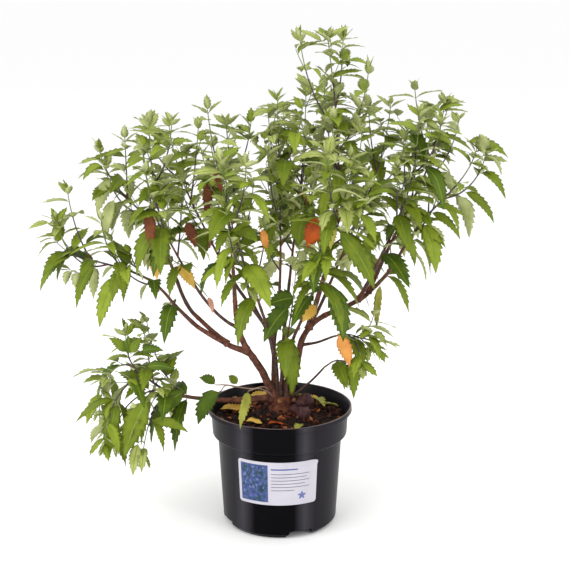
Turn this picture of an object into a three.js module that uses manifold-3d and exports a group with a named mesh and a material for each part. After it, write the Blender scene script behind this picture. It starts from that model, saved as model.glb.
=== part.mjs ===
// A caryopteris shrub in a black nursery pot: a woody crown on the compost, boughs
// that leave it, and masses of leafy shoots that grow on from the boughs' tips.
// Millimetres and degrees, +Z up. The origin is the centre of the pot's underside,
// +X is to the right of the front view and +Y is away from it.

import * as THREE from 'three';
import { mergeVertices } from 'three/addons/utils/BufferGeometryUtils.js';
import Module from 'manifold-3d';

const wasm = await Module();
wasm.setup();

// Driving sizes

const GAP = 0.3; // between pieces that touch
const CUT = 1; // how far a cut passes the face that it opens
const SEED_STEP = 100; // one mass's random stream from the next

const POT = {
  height: 158,
  baseRadius: 75,
  bodyTopRadius: 81.5,
  collarRadius: 88.5,
  lipRadius: 95,
  collarHeight: 40,
  lipHeight: 6,
  lipWall: 2.6,
  wall: 1.8,
  floor: 2,
  cornerRadius: 6,
  insideCorner: 3,
  stepHeight: 6,
  collarDraft: 1.6,
  facets: 30,
};

const CHANNEL = {
  count: 4,
  azimuth: 22,
  height: 10,
  footWidth: 38,
  roofWidth: 30,
  innerRadius: 46,
  overshoot: 12,
  holeRadius: 4.5,
  holeLength: 20,
  holeAt: 61,
  holeHeight: 13,
};

const LABEL = {
  azimuth: 268,
  width: 106,
  height: 59.5,
  middle: 78.5,
  thickness: 0.5,
  cornerRadius: 4,
  columns: 14,
};

const SOIL = {
  edgeHeight: 140,
  moundHeight: 148,
  moundRadius: 62,
  padRadius: 38,
  bump: 1.6,
};

// flare lists how far the crown stands out from its neck towards its full radius, with
// the share of its height where it does.
const CROWN = {
  x: 2,
  y: 16,
  radius: 23,
  neck: 14,
  height: 21,
  flare: [[1, 0], [0.8, 0.12], [0.3, 0.34], [0.12, 0.6], [0, 0.8]],
  topRadius: 8.5,
  topShare: 0.97,
  lobes: 0.12,
  sides: 16,
};

// One row is one bough and the mass of shoots that grows on from its tip. from is what
// it leaves and at how far along that limb. rise is the angle above level, in even
// steps from foot to tip, past 90 where it leans back, and turn is the swing of its
// azimuth. spin is where the first side shoot stands round its leader.
const BOUGHS = [
  {
    name: 'left_up', from: 'crown', azimuth: 206, turn: -30, rise: [68, 66, 54, 72, 86, 88],
    length: 170, radius: [6, 2.6],
    shoots: { turn: 4, rise: [85, 79, 79, 84], length: 228, sides: 4, sideLength: 100, spin: 40 },
  },
  {
    name: 'left_low', from: 'left_up', at: 0.46, azimuth: 194, turn: -10, rise: [12, 32, 34, 50],
    length: 98, radius: [3.8, 2.6],
    shoots: {
      turn: -6, rise: [54, 28, 17, 14, 58, 86], length: 218, sides: 6, sideLength: 84, spin: 100,
    },
  },
  {
    name: 'left_mid', from: 'left_low', at: 0.3, azimuth: 168, turn: 0, rise: [38, 40, 44, 66, 72],
    length: 110, radius: [3.2, 2.3],
    shoots: { turn: 10, rise: [72, 52, 42, 60, 78], length: 196, sides: 4, sideLength: 84, spin: 10 },
  },
  {
    name: 'left_front', from: 'left_up', at: 0.66, azimuth: 214, turn: -8, rise: [30, 50, 62],
    length: 104, radius: [2.2, 1.7],
    shoots: { turn: -26, rise: [64, 80, 86, 90], length: 204, sides: 4, sideLength: 90, spin: 70 },
  },
  {
    name: 'centre', from: 'crown', azimuth: 200, turn: 0, rise: [84, 91, 92, 99, 92],
    length: 134, radius: [2.9, 2.1],
    shoots: { turn: 0, rise: [90, 91, 92, 91], length: 264, sides: 5, sideLength: 100, spin: 200 },
  },
  {
    name: 'centre_left', from: 'centre', at: 0.54, azimuth: 164, turn: -8, rise: [70, 56, 74, 82],
    length: 118, radius: [2.6, 1.9],
    shoots: { turn: 24, rise: [84, 83, 86], length: 184, sides: 3, sideLength: 84, spin: 150 },
  },
  {
    name: 'right_low', from: 'crown', azimuth: 8, turn: -16, rise: [72, 78, 82, 48, 22, 30, 52],
    length: 206, radius: [4.8, 2.8],
    shoots: { turn: 10, rise: [62, 56, 46, 52, 78], length: 220, sides: 5, sideLength: 84, spin: 70 },
  },
  {
    name: 'right_up', from: 'right_low', at: 0.48, azimuth: 2, turn: 0, rise: [78, 72, 76, 80],
    length: 118, radius: [3.7, 2.6],
    shoots: {
      turn: 0, rise: [86, 93, 94, 97, 98], length: 266, sides: 6, sideLength: 116, spin: 330,
    },
  },
  {
    name: 'right_mid', from: 'right_low', at: 0.93, azimuth: 38, turn: -10, rise: [58, 62],
    length: 62, radius: [3, 2.3],
    shoots: { turn: -12, rise: [58, 64, 74, 84], length: 208, sides: 4, sideLength: 92, spin: 60 },
  },
  {
    name: 'right_front', from: 'right_low', at: 0.85, azimuth: 300, turn: 14, rise: [50, 62],
    length: 66, radius: [3, 2.2],
    shoots: { turn: 30, rise: [64, 72, 84, 88], length: 208, sides: 4, sideLength: 90, spin: 210 },
  },
  {
    name: 'rim_right', from: 'right_low', at: 0.36, azimuth: 330, turn: -4, rise: [12, 22, 30],
    length: 52, radius: [1.9, 1.4],
    shoots: {
      turn: 8, rise: [10, -24, -56], length: 60, sides: 3, sideLength: 66, spin: 250, hang: true,
    },
  },
  {
    name: 'rim_twig', from: 'crown', azimuth: 341, turn: 2, rise: [38, 44, 52],
    length: 70, radius: [1.8, 1.2],
    shoots: {
      turn: 0, rise: [20, -20, -60], length: 50, sides: 0, sideLength: 0, spin: 0, hang: true,
    },
  },
  {
    name: 'rim_left', from: 'crown', azimuth: 194, turn: 0, rise: [0, 0, 5, 12],
    length: 98, radius: [4.8, 2.9],
    shoots: {
      turn: -8, rise: [18, 38, 42, 78, 92], length: 150, sides: 6, sideLength: 122, spin: 20,
      hang: true,
    },
  },
  {
    name: 'front_left', from: 'crown', azimuth: 244, turn: 6, rise: [88, 80, 52, 54],
    length: 160, radius: [2.6, 1.8],
    shoots: { turn: -26, rise: [58, 72, 86], length: 214, sides: 4, sideLength: 96, spin: 120 },
  },
  {
    name: 'front_right', from: 'crown', azimuth: 302, turn: -8, rise: [86, 78, 52, 54],
    length: 162, radius: [2.6, 1.8],
    shoots: { turn: 20, rise: [58, 70, 86], length: 218, sides: 4, sideLength: 96, spin: 300 },
  },
  {
    name: 'back_left', from: 'crown', azimuth: 132, turn: 12, rise: [86, 86, 72, 42, 42, 52],
    length: 180, radius: [3, 2.1],
    shoots: { turn: 14, rise: [58, 60, 72, 84], length: 226, sides: 5, sideLength: 100, spin: 40 },
  },
  {
    name: 'back_centre', from: 'crown', azimuth: 86, turn: -8, rise: [80, 68, 52, 62],
    length: 160, radius: [3, 2.1],
    shoots: { turn: -14, rise: [62, 70, 82, 88], length: 262, sides: 5, sideLength: 100, spin: 150 },
  },
  {
    name: 'back_right', from: 'crown', azimuth: 46, turn: -4, rise: [76, 62, 50, 60],
    length: 162, radius: [3, 2.1],
    shoots: { turn: -6, rise: [58, 60, 72, 84], length: 262, sides: 5, sideLength: 100, spin: 260 },
  },
  {
    name: 'front_low', from: 'crown', azimuth: 262, turn: 79, rise: [72, 80, 80],
    length: 70, radius: [2, 1.5],
    shoots: { turn: 0, rise: [80, 82, 86], length: 112, sides: 1, sideLength: 60, spin: 90 },
  },
];

const LIMB = {
  step: 21,
  sides: 6,
  taper: 0.8,
  flare: 0.22,
  flareLength: 0.17,
  clearance: 2.5,
  outShare: 0.7,
  rootShare: 0.62,
  lowRise: 30,
  lowRootShare: 0.7,
};

// How far the leaves and side shoots keep from the pot and from the ground.
const CLEAR = { overPot: 3, besidePot: 2, ground: 6 };

const TWIG = {
  step: 20,
  sides: 3,
  nodeHeight: 2.2,
  tipRadius: 0.8,
  sideRadius: 1.4,
  taper: 0.7,
  bareFoot: 18,
  leaveAngle: 42,
  goldenAngle: 137.5,
  firstSide: 0.1,
  lastSide: 0.72,
  middleShare: 0.6,
  endRise: 84,
  hangShare: 0.4,
  hangRises: [-36, -68, -80],
  turnSpread: 30,
  aheadSpread: [0.7, 1],
  reachSpread: [0.8, 1.15],
  shortest: 36,
  endMargin: 26,
};

const LEAF = {
  footLength: 72,
  tipLength: 40,
  budLength: 26,
  lengthSpread: [0.82, 1.16],
  halfWidthShare: 0.175,
  edgeDrop: 0.8,
  thicknessShare: 0.03,
  steps: 4,
  footSpacing: 37,
  tipSpacing: 28.5,
  spacingSpread: [0.85, 1.15],
  lastShare: 0.7,
  angleSpread: 30,
  opening: 62,
  budOpening: 26,
  droop: [40, 115],
  tipDroopShare: 0.45,
  budDroop: 6,
  middleDroop: 0.7,
  steepest: -86,
  sizeTries: [1, 0.72],
  swingTries: [0, 30, -30, 60, -60],
  margin: 1.1,
};

const COLOURS = {
  pot: 0x1f1f24,
  label: 0xe4e2ea,
  soil: 0x3a2218,
  crown: 0x6b3f2c,
  bough: 0x77503f,
  leaf: 0x5f8434,
};

// Small helpers

const rad = THREE.MathUtils.degToRad;
const lerp = THREE.MathUtils.lerp;
const UP = new THREE.Vector3(0, 0, 1);

// A seeded stream of numbers from 0 to 1, the same ones on every run.
function makeRandom(seed) {
  let state = seed >>> 0;
  return () => {
    state = (state + 0x6d2b79f5) >>> 0;
    let t = state;
    t = Math.imul(t ^ (t >>> 15), t | 1);
    t ^= t + Math.imul(t ^ (t >>> 7), t | 61);
    return ((t ^ (t >>> 14)) >>> 0) / 4294967296;
  };
}

// The value of an evenly spaced list at t from 0 to 1.
function valueAt(list, t) {
  const place = Math.min(Math.max(t, 0), 1) * (list.length - 1);
  const i = Math.min(Math.floor(place), list.length - 2);
  return lerp(list[i], list[i + 1], place - i);
}

function direction(azimuth, rise) {
  return new THREE.Vector3(
    Math.cos(rad(rise)) * Math.cos(rad(azimuth)),
    Math.cos(rad(rise)) * Math.sin(rad(azimuth)),
    Math.sin(rad(rise)),
  );
}

function azimuthOf(vector) {
  return THREE.MathUtils.radToDeg(Math.atan2(vector.y, vector.x));
}

function riseOf(vector) {
  return THREE.MathUtils.radToDeg(Math.asin(vector.z / vector.length()));
}

// Points along a limb or shoot that leaves start and changes its heading evenly.
function growPath({ start, azimuth, turn = 0, rise, length }, step) {
  const count = Math.max(2, Math.round(length / step));
  const points = [start.clone()];
  for (let i = 0; i < count; i++) {
    const t = (i + 0.5) / count;
    const heading = direction(azimuth + turn * t, valueAt(rise, t));
    points.push(points[i].clone().addScaledVector(heading, length / count));
  }
  return points;
}

function pointAlong(path, t) {
  const place = Math.min(Math.max(t, 0), 1) * (path.length - 1);
  const i = Math.min(Math.floor(place), path.length - 2);
  return path[i].clone().lerp(path[i + 1], place - i);
}

function headingAlong(path, t) {
  const i = Math.min(Math.floor(t * (path.length - 1)), path.length - 2);
  return path[i + 1].clone().sub(path[i]).normalize();
}

function distanceToSegment(p, a, b) {
  const ab = b.clone().sub(a);
  const t = THREE.MathUtils.clamp(p.clone().sub(a).dot(ab) / ab.lengthSq(), 0, 1);
  return { distance: p.distanceTo(a.clone().addScaledVector(ab, t)), t };
}

// Solids

// A closed geometry as a solid: seams merged, and triangles that collapsed dropped.
function solidOf(geometry) {
  const bare = new THREE.BufferGeometry()
    .setAttribute('position', geometry.getAttribute('position'))
    .setIndex(geometry.getIndex());
  const merged = mergeVertices(bare, 1e-4);
  const kept = [];
  const index = merged.index.array;
  for (let i = 0; i < index.length; i += 3) {
    const [a, b, c] = [index[i], index[i + 1], index[i + 2]];
    if (a !== b && b !== c && c !== a) kept.push(a, b, c);
  }
  return new wasm.Manifold(
    new wasm.Mesh({
      numProp: 3,
      vertProperties: new Float32Array(merged.attributes.position.array),
      triVerts: new Uint32Array(kept),
    }),
  );
}

function geometryOf(solid) {
  const { numProp, vertProperties, triVerts } = solid.getMesh();
  const position = new Float32Array((vertProperties.length / numProp) * 3);
  for (let i = 0; i * 3 < position.length; i++) {
    position.set(vertProperties.subarray(i * numProp, i * numProp + 3), i * 3);
  }
  return new THREE.BufferGeometry()
    .setAttribute('position', new THREE.BufferAttribute(position, 3))
    .setIndex(new THREE.BufferAttribute(new Uint32Array(triVerts), 1));
}

function largestBody(solid) {
  const bodies = solid.decompose();
  return bodies.reduce((a, b) => (b.volume() > a.volume() ? b : a));
}

// A profile of [radius, height] pairs turned about +Z, from the axis back to the axis.
function turned(profile, facets) {
  const points = profile.map(([r, z]) => new THREE.Vector2(r, z));
  return new THREE.LatheGeometry(points, facets).rotateX(Math.PI / 2);
}

// A closed tapering tube along points. The rings keep square to the path.
function sweep(points, radiusAt, sides) {
  const vertices = [];
  const triangles = [];
  const last = points.length - 1;
  let across = null;
  points.forEach((point, i) => {
    const before = points[Math.max(i - 1, 0)];
    const after = points[Math.min(i + 1, last)];
    const along = after.clone().sub(before).normalize();
    if (!across) across = Math.abs(along.z) > 0.9 ? new THREE.Vector3(1, 0, 0) : UP.clone();
    across.addScaledVector(along, -across.dot(along)).normalize();
    const beside = along.clone().cross(across);
    for (let k = 0; k < sides; k++) {
      const angle = (2 * Math.PI * k) / sides;
      const rim = point
        .clone()
        .addScaledVector(across, Math.cos(angle) * radiusAt(i / last))
        .addScaledVector(beside, Math.sin(angle) * radiusAt(i / last));
      vertices.push(...rim.toArray());
    }
  });
  for (let i = 0; i < last; i++) {
    for (let k = 0; k < sides; k++) {
      const next = (k + 1) % sides;
      const [a, b] = [i * sides + k, i * sides + next];
      triangles.push(a, b, b + sides, a, b + sides, a + sides);
    }
  }
  for (let k = 1; k + 1 < sides; k++) {
    triangles.push(0, k + 1, k);
    triangles.push(last * sides, last * sides + k, last * sides + k + 1);
  }
  return new THREE.BufferGeometry()
    .setAttribute('position', new THREE.Float32BufferAttribute(vertices, 3))
    .setIndex(triangles);
}

// Pot, label and compost

// The inside of the pot from the floor up, drawn in by clearance.
function cavityProfile(clearance) {
  const inset = POT.wall + clearance;
  const shoulder = POT.height - POT.collarHeight;
  const bottom = POT.floor + clearance;
  return [
    [POT.baseRadius - inset - POT.insideCorner, bottom],
    [POT.baseRadius - inset, bottom + POT.insideCorner],
    [POT.bodyTopRadius - inset, shoulder],
    [POT.collarRadius - inset, shoulder + POT.stepHeight],
    [POT.collarRadius + POT.collarDraft - inset, POT.height - POT.lipHeight],
  ];
}

// A drainage channel: a tapered groove under the pot that runs out through its wall.
function channelSolids(grow) {
  const { count, azimuth, height, footWidth, roofWidth, innerRadius, overshoot } = CHANNEL;
  const section = new THREE.Shape([
    new THREE.Vector2(-footWidth / 2 - grow, -CUT),
    new THREE.Vector2(footWidth / 2 + grow, -CUT),
    new THREE.Vector2(footWidth / 2 + grow, 0),
    new THREE.Vector2(roofWidth / 2 + grow, height + grow),
    new THREE.Vector2(-roofWidth / 2 - grow, height + grow),
    new THREE.Vector2(-footWidth / 2 - grow, 0),
  ]);
  const depth = POT.baseRadius + overshoot - innerRadius + grow;
  return Array.from({ length: count }, (_, i) => {
    const block = new THREE.ExtrudeGeometry(section, { depth, bevelEnabled: false });
    block.rotateX(Math.PI / 2).translate(0, POT.baseRadius + overshoot, 0);
    block.rotateZ(rad(azimuth - 90 + (i * 360) / count));
    return solidOf(block);
  });
}

function drainHole(azimuth) {
  const { holeRadius, holeLength, holeAt, holeHeight } = CHANNEL;
  const hole = new THREE.CylinderGeometry(holeRadius, holeRadius, holeLength, 8);
  hole.rotateX(Math.PI / 2).translate(holeAt, 0, holeHeight);
  return solidOf(hole.rotateZ(rad(azimuth)));
}

function potSolid() {
  const shoulder = POT.height - POT.collarHeight - POT.wall;
  const lip = POT.height - POT.lipHeight;
  const corner = POT.cornerRadius;
  const cornerMiddle = corner * (1 - Math.SQRT1_2);
  const outside = turned(
    [
      [0, 0],
      [POT.baseRadius - corner, 0],
      [POT.baseRadius - cornerMiddle, cornerMiddle],
      [POT.baseRadius, corner],
      [POT.bodyTopRadius, shoulder],
      [POT.collarRadius, shoulder + POT.stepHeight],
      [POT.collarRadius + POT.collarDraft, lip],
      [POT.lipRadius, lip],
      [POT.lipRadius, POT.height],
      [0, POT.height],
    ],
    POT.facets,
  );
  const mouth = [
    [POT.lipRadius - POT.lipWall, POT.height],
    [POT.lipRadius - POT.lipWall, POT.height + CUT],
    [0, POT.height + CUT],
  ];
  let cavity = solidOf(turned([[0, POT.floor], ...cavityProfile(0), ...mouth], POT.facets));
  for (const roof of channelSolids(POT.floor)) cavity = cavity.subtract(roof);
  let pot = solidOf(outside).subtract(cavity);
  channelSolids(0).forEach((channel, i) => {
    pot = pot.subtract(channel);
    pot = pot.subtract(drainHole(CHANNEL.azimuth + (i * 360) / CHANNEL.count));
  });
  return largestBody(pot);
}

// The outside radius of the pot's body.
function potRadiusAt(z) {
  const shoulder = POT.height - POT.collarHeight - POT.wall;
  const t = (z - POT.cornerRadius) / (shoulder - POT.cornerRadius);
  return lerp(POT.baseRadius, POT.bodyTopRadius, t);
}

// A printed sticker bent round the front of the pot, with rounded corners.
function labelSolid() {
  const { width, height, middle, thickness, cornerRadius, columns } = LABEL;
  const vertices = [];
  const triangles = [];
  const turnPerMm = 1 / potRadiusAt(middle);
  for (let i = 0; i <= columns; i++) {
    const across = (i / columns - 0.5) * width;
    const intoCorner = Math.max(0, cornerRadius - (width / 2 - Math.abs(across)));
    const trim = cornerRadius - Math.sqrt(cornerRadius ** 2 - intoCorner ** 2);
    const angle = rad(LABEL.azimuth) + across * turnPerMm;
    for (const [side, z] of [[0, -1], [1, -1], [1, 1], [0, 1]]) {
      const level = middle + z * (height / 2 - trim);
      const radius = potRadiusAt(level) + GAP + side * thickness;
      vertices.push(radius * Math.cos(angle), radius * Math.sin(angle), level);
    }
  }
  for (let i = 0; i < columns; i++) {
    for (let k = 0; k < 4; k++) {
      const [a, b] = [i * 4 + k, i * 4 + ((k + 1) % 4)];
      triangles.push(a, b + 4, b, a, a + 4, b + 4);
    }
  }
  const end = columns * 4;
  triangles.push(0, 1, 2, 0, 2, 3, end, end + 2, end + 1, end, end + 3, end + 2);
  return solidOf(
    new THREE.BufferGeometry()
      .setAttribute('position', new THREE.Float32BufferAttribute(vertices, 3))
      .setIndex(triangles),
  );
}

// The top of the compost: a low mound with a level pad under the woody crown.
function soilHeight(x, y) {
  const away = Math.hypot(x - CROWN.x, y - CROWN.y);
  const t = THREE.MathUtils.smoothstep(away, SOIL.padRadius, SOIL.moundRadius);
  const level = lerp(SOIL.moundHeight, SOIL.edgeHeight, t);
  const ripple = Math.sin(x * 0.11 + 1.3) * Math.cos(y * 0.13) + Math.sin((x - y) * 0.19);
  return level + SOIL.bump * t * ripple * 0.5;
}

function soilSolid() {
  const walls = cavityProfile(GAP);
  const sides = walls.slice(0, -1);
  const [lower, upper] = walls.slice(-2);
  const edgeShare = (SOIL.edgeHeight - lower[1]) / (upper[1] - lower[1]);
  const edgeRadius = lerp(lower[0], upper[0], edgeShare) - GAP;
  const rings = [1, 0.75, 0.5, 0.25, 0].map((share) => [
    edgeRadius * share,
    SOIL.edgeHeight,
  ]);
  const bottom = [0, sides[0][1]];
  const body = turned([bottom, ...sides, ...rings], POT.facets);
  const position = body.getAttribute('position');
  for (let i = 0; i < position.count; i++) {
    if (position.getZ(i) > SOIL.edgeHeight - CUT) {
      position.setZ(i, soilHeight(position.getX(i), position.getY(i)));
    }
  }
  let soil = solidOf(body);
  for (const roof of channelSolids(POT.floor + GAP)) soil = soil.subtract(roof);
  return largestBody(soil);
}

// Woody crown and boughs

const CROWN_FOOT = SOIL.moundHeight + GAP;

// The knobbly woody base that all the boughs leave, flat where it stands.
function crownSolid(grow) {
  const { radius, neck, height, flare, topRadius, topShare, lobes, sides } = CROWN;
  const flank = flare.map(([out, up]) => [lerp(neck, radius, out) + grow, height * up]);
  const profile = [
    [0, -grow],
    [radius + grow, -grow],
    ...flank.slice(grow ? 0 : 1),
    [topRadius + grow, height * topShare + grow],
    [0, height + grow],
  ];
  const body = turned(profile, sides);
  const position = body.getAttribute('position');
  for (let i = 0; i < position.count; i++) {
    const [x, y] = [position.getX(i), position.getY(i)];
    const angle = Math.atan2(y, x);
    const swell = 1 + lobes * Math.sin(3 * angle + 0.6) + (lobes / 2) * Math.sin(5 * angle);
    position.setXY(i, x * swell, y * swell);
  }
  return solidOf(body.translate(CROWN.x, CROWN.y, CROWN_FOOT));
}

function limbRadius(bough, t) {
  const [foot, tip] = bough.radius;
  const flare = foot * LIMB.flare * Math.max(0, 1 - t / LIMB.flareLength);
  return lerp(foot, tip, Math.pow(t, LIMB.taper)) + flare;
}

// Where a bough starts: inside the crown, or on the axis of the limb that it leaves.
function limbStart(bough, paths) {
  if (bough.from !== 'crown') return pointAlong(paths.get(bough.from), bough.at);
  const out = direction(bough.azimuth, 0).multiplyScalar(CROWN.neck * LIMB.outShare);
  const share = bough.rise[0] < LIMB.lowRise ? LIMB.lowRootShare : LIMB.rootShare;
  return new THREE.Vector3(CROWN.x, CROWN.y, CROWN_FOOT + CROWN.height * share).add(out);
}

function limbPaths() {
  const paths = new Map();
  for (const bough of BOUGHS) {
    paths.set(bough.name, growPath({ ...bough, start: limbStart(bough, paths) }, LIMB.step));
  }
  return paths;
}

// Each bough is cut back from the crown and from the boughs before it, so that it
// sits on them with the gap of pieces that touch.
function boughSolids(paths) {
  const made = new Map();
  const cutters = [crownSolid(GAP)];
  for (const bough of BOUGHS) {
    const path = paths.get(bough.name);
    const grown = (grow) => sweep(path, (t) => limbRadius(bough, t) + grow, LIMB.sides);
    let solid = solidOf(grown(0));
    for (const cutter of cutters) solid = solid.subtract(cutter);
    made.set(bough.name, largestBody(solid));
    cutters.push(solidOf(grown(GAP * 1.2)));
  }
  return made;
}

// Masses of shoots

// The line that a mass gathers round: its leading shoot from foot to tip.
function leaderOf(bough, path) {
  const end = path[path.length - 1];
  const heading = headingAlong(path, 1);
  return {
    start: end.clone().addScaledVector(heading, GAP),
    azimuth: azimuthOf(heading),
    turn: bough.shoots.turn,
    rise: [riseOf(heading), ...bough.shoots.rise],
    length: bough.shoots.length,
  };
}

function nearestOn(path, p) {
  let nearest = Infinity;
  for (let i = 0; i + 1 < path.length; i++) {
    nearest = Math.min(nearest, distanceToSegment(p, path[i], path[i + 1]).distance);
  }
  return nearest;
}

// A point belongs to the mass whose leader is nearest to it.
function inSpace(name, leaders, p) {
  const own = nearestOn(leaders.get(name), p) + LEAF.margin;
  for (const [other, path] of leaders) {
    if (other !== name && nearestOn(path, p) - LEAF.margin < own) return false;
  }
  return true;
}

function clearOfPot(p) {
  const beside = Math.hypot(p.x, p.y) > POT.lipRadius + CLEAR.besidePot;
  return (beside || p.z > POT.height + CLEAR.overPot) && p.z > CLEAR.ground;
}

function clearOfLimbs(paths, p, margin) {
  for (const bough of BOUGHS) {
    const path = paths.get(bough.name);
    for (let i = 0; i + 1 < path.length; i++) {
      const { distance, t } = distanceToSegment(p, path[i], path[i + 1]);
      const radius = limbRadius(bough, (i + t) / (path.length - 1));
      if (distance < radius + margin) return false;
    }
  }
  return true;
}

// A leaf's midrib: it leaves the stem at its opening and arches over under its weight.
function midribOf(root, along, outward, { size, opening, droop }) {
  const heading = along
    .clone()
    .multiplyScalar(Math.cos(rad(opening)))
    .addScaledVector(outward, Math.sin(rad(opening)));
  const rise = riseOf(heading);
  const fall = Math.max(rise - droop, LEAF.steepest);
  const course = {
    start: root,
    azimuth: azimuthOf(heading),
    rise: [rise, lerp(rise, fall, LEAF.middleDroop), fall],
    length: size,
  };
  return growPath(course, size / LEAF.steps);
}

// The corners of a leaf's blade: its edges from base to tip, and the middle of its two
// faces, which make it a thin lens keeled along the midrib.
function bladeOf(midrib, along, size) {
  const halfWidth = size * LEAF.halfWidthShare;
  const thickness = size * LEAF.thicknessShare;
  const [end, middle] = [LEAF.steps, LEAF.steps / 2];
  const chord = midrib[end].clone().sub(midrib[0]);
  const across = chord.clone().cross(UP).normalize();
  if (across.dot(along.clone().cross(midrib[1].clone().sub(midrib[0]))) < 0) across.negate();
  const lift = chord.clone().cross(across).normalize();
  const at = (sideways, up) =>
    midrib[middle].clone().addScaledVector(across, sideways).addScaledVector(lift, up);
  return {
    right: at(halfWidth, -LEAF.edgeDrop),
    left: at(-halfWidth, -LEAF.edgeDrop),
    tip: midrib[end],
    top: at(0, thickness / 2),
    bottom: at(0, -thickness / 2),
  };
}

// The two directions square to a stem in which a pair of leaves stands.
function pairDirections(along, angle) {
  const level = along.clone().cross(UP);
  if (level.lengthSq() < 0.01) level.set(1, 0, 0);
  level.normalize();
  const raised = level.clone().cross(along).normalize();
  const first = level
    .multiplyScalar(Math.cos(rad(angle)))
    .addScaledVector(raised, Math.sin(rad(angle)));
  return [first, first.clone().negate()];
}

// A closed mesh in the making: points, and triangles between them.
class MeshDraft {
  constructor() {
    this.vertices = [];
    this.triangles = [];
  }

  point(p) {
    this.vertices.push(...p.toArray());
    return this.vertices.length / 3 - 1;
  }

  fan(loop, apex) {
    loop.forEach((corner, i) => this.triangles.push(corner, loop[(i + 1) % loop.length], apex));
  }

  face([a, b, c, d]) {
    this.triangles.push(a, b, c, a, c, d);
  }

  // A leaf's blade drawn out of the stem's face whose corners are given.
  blade([a, b, c, d], { left, right, tip, top, bottom }) {
    const [l, r, end] = [left, right, tip].map((p) => this.point(p));
    this.fan([c, d, l, end, r], this.point(top));
    this.fan([a, b, r, end, l], this.point(bottom));
    this.triangles.push(a, l, d, b, c, r);
  }

  solid() {
    return solidOf(
      new THREE.BufferGeometry()
        .setAttribute('position', new THREE.Float32BufferAttribute(this.vertices, 3))
        .setIndex(this.triangles),
    );
  }
}

// A leaf by itself, closed at its base.
function loneBlade(root, along, blade) {
  const draft = new MeshDraft();
  const across = blade.right.clone().sub(blade.left).normalize();
  const base = [[-1, -1], [1, -1], [1, 1], [-1, 1]].map(([side, up]) =>
    draft.point(root.clone().addScaledVector(across, side).addScaledVector(along, up)),
  );
  draft.blade(base, blade);
  draft.triangles.push(base[0], base[3], base[2], base[0], base[2], base[1]);
  return draft.solid();
}

// The world axis that stays most nearly square to a path.
function squarestAxis(path) {
  const headings = path.slice(1).map((p, i) => p.clone().sub(path[i]).normalize());
  const lean = (axis) => Math.max(...headings.map((heading) => Math.abs(heading.dot(axis))));
  const axes = [[1, 0, 0], [0, 1, 0], [0, 0, 1]].map((axis) => new THREE.Vector3(...axis));
  return axes.reduce((a, b) => (lean(b) < lean(a) ? b : a));
}

function meets(a, b) {
  const [p, q] = [a.boundingBox(), b.boundingBox()];
  const apart = [0, 1, 2].some((i) => p.min[i] > q.max[i] || q.min[i] > p.max[i]);
  return !apart && a.intersect(b).volume() > 0;
}

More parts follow.
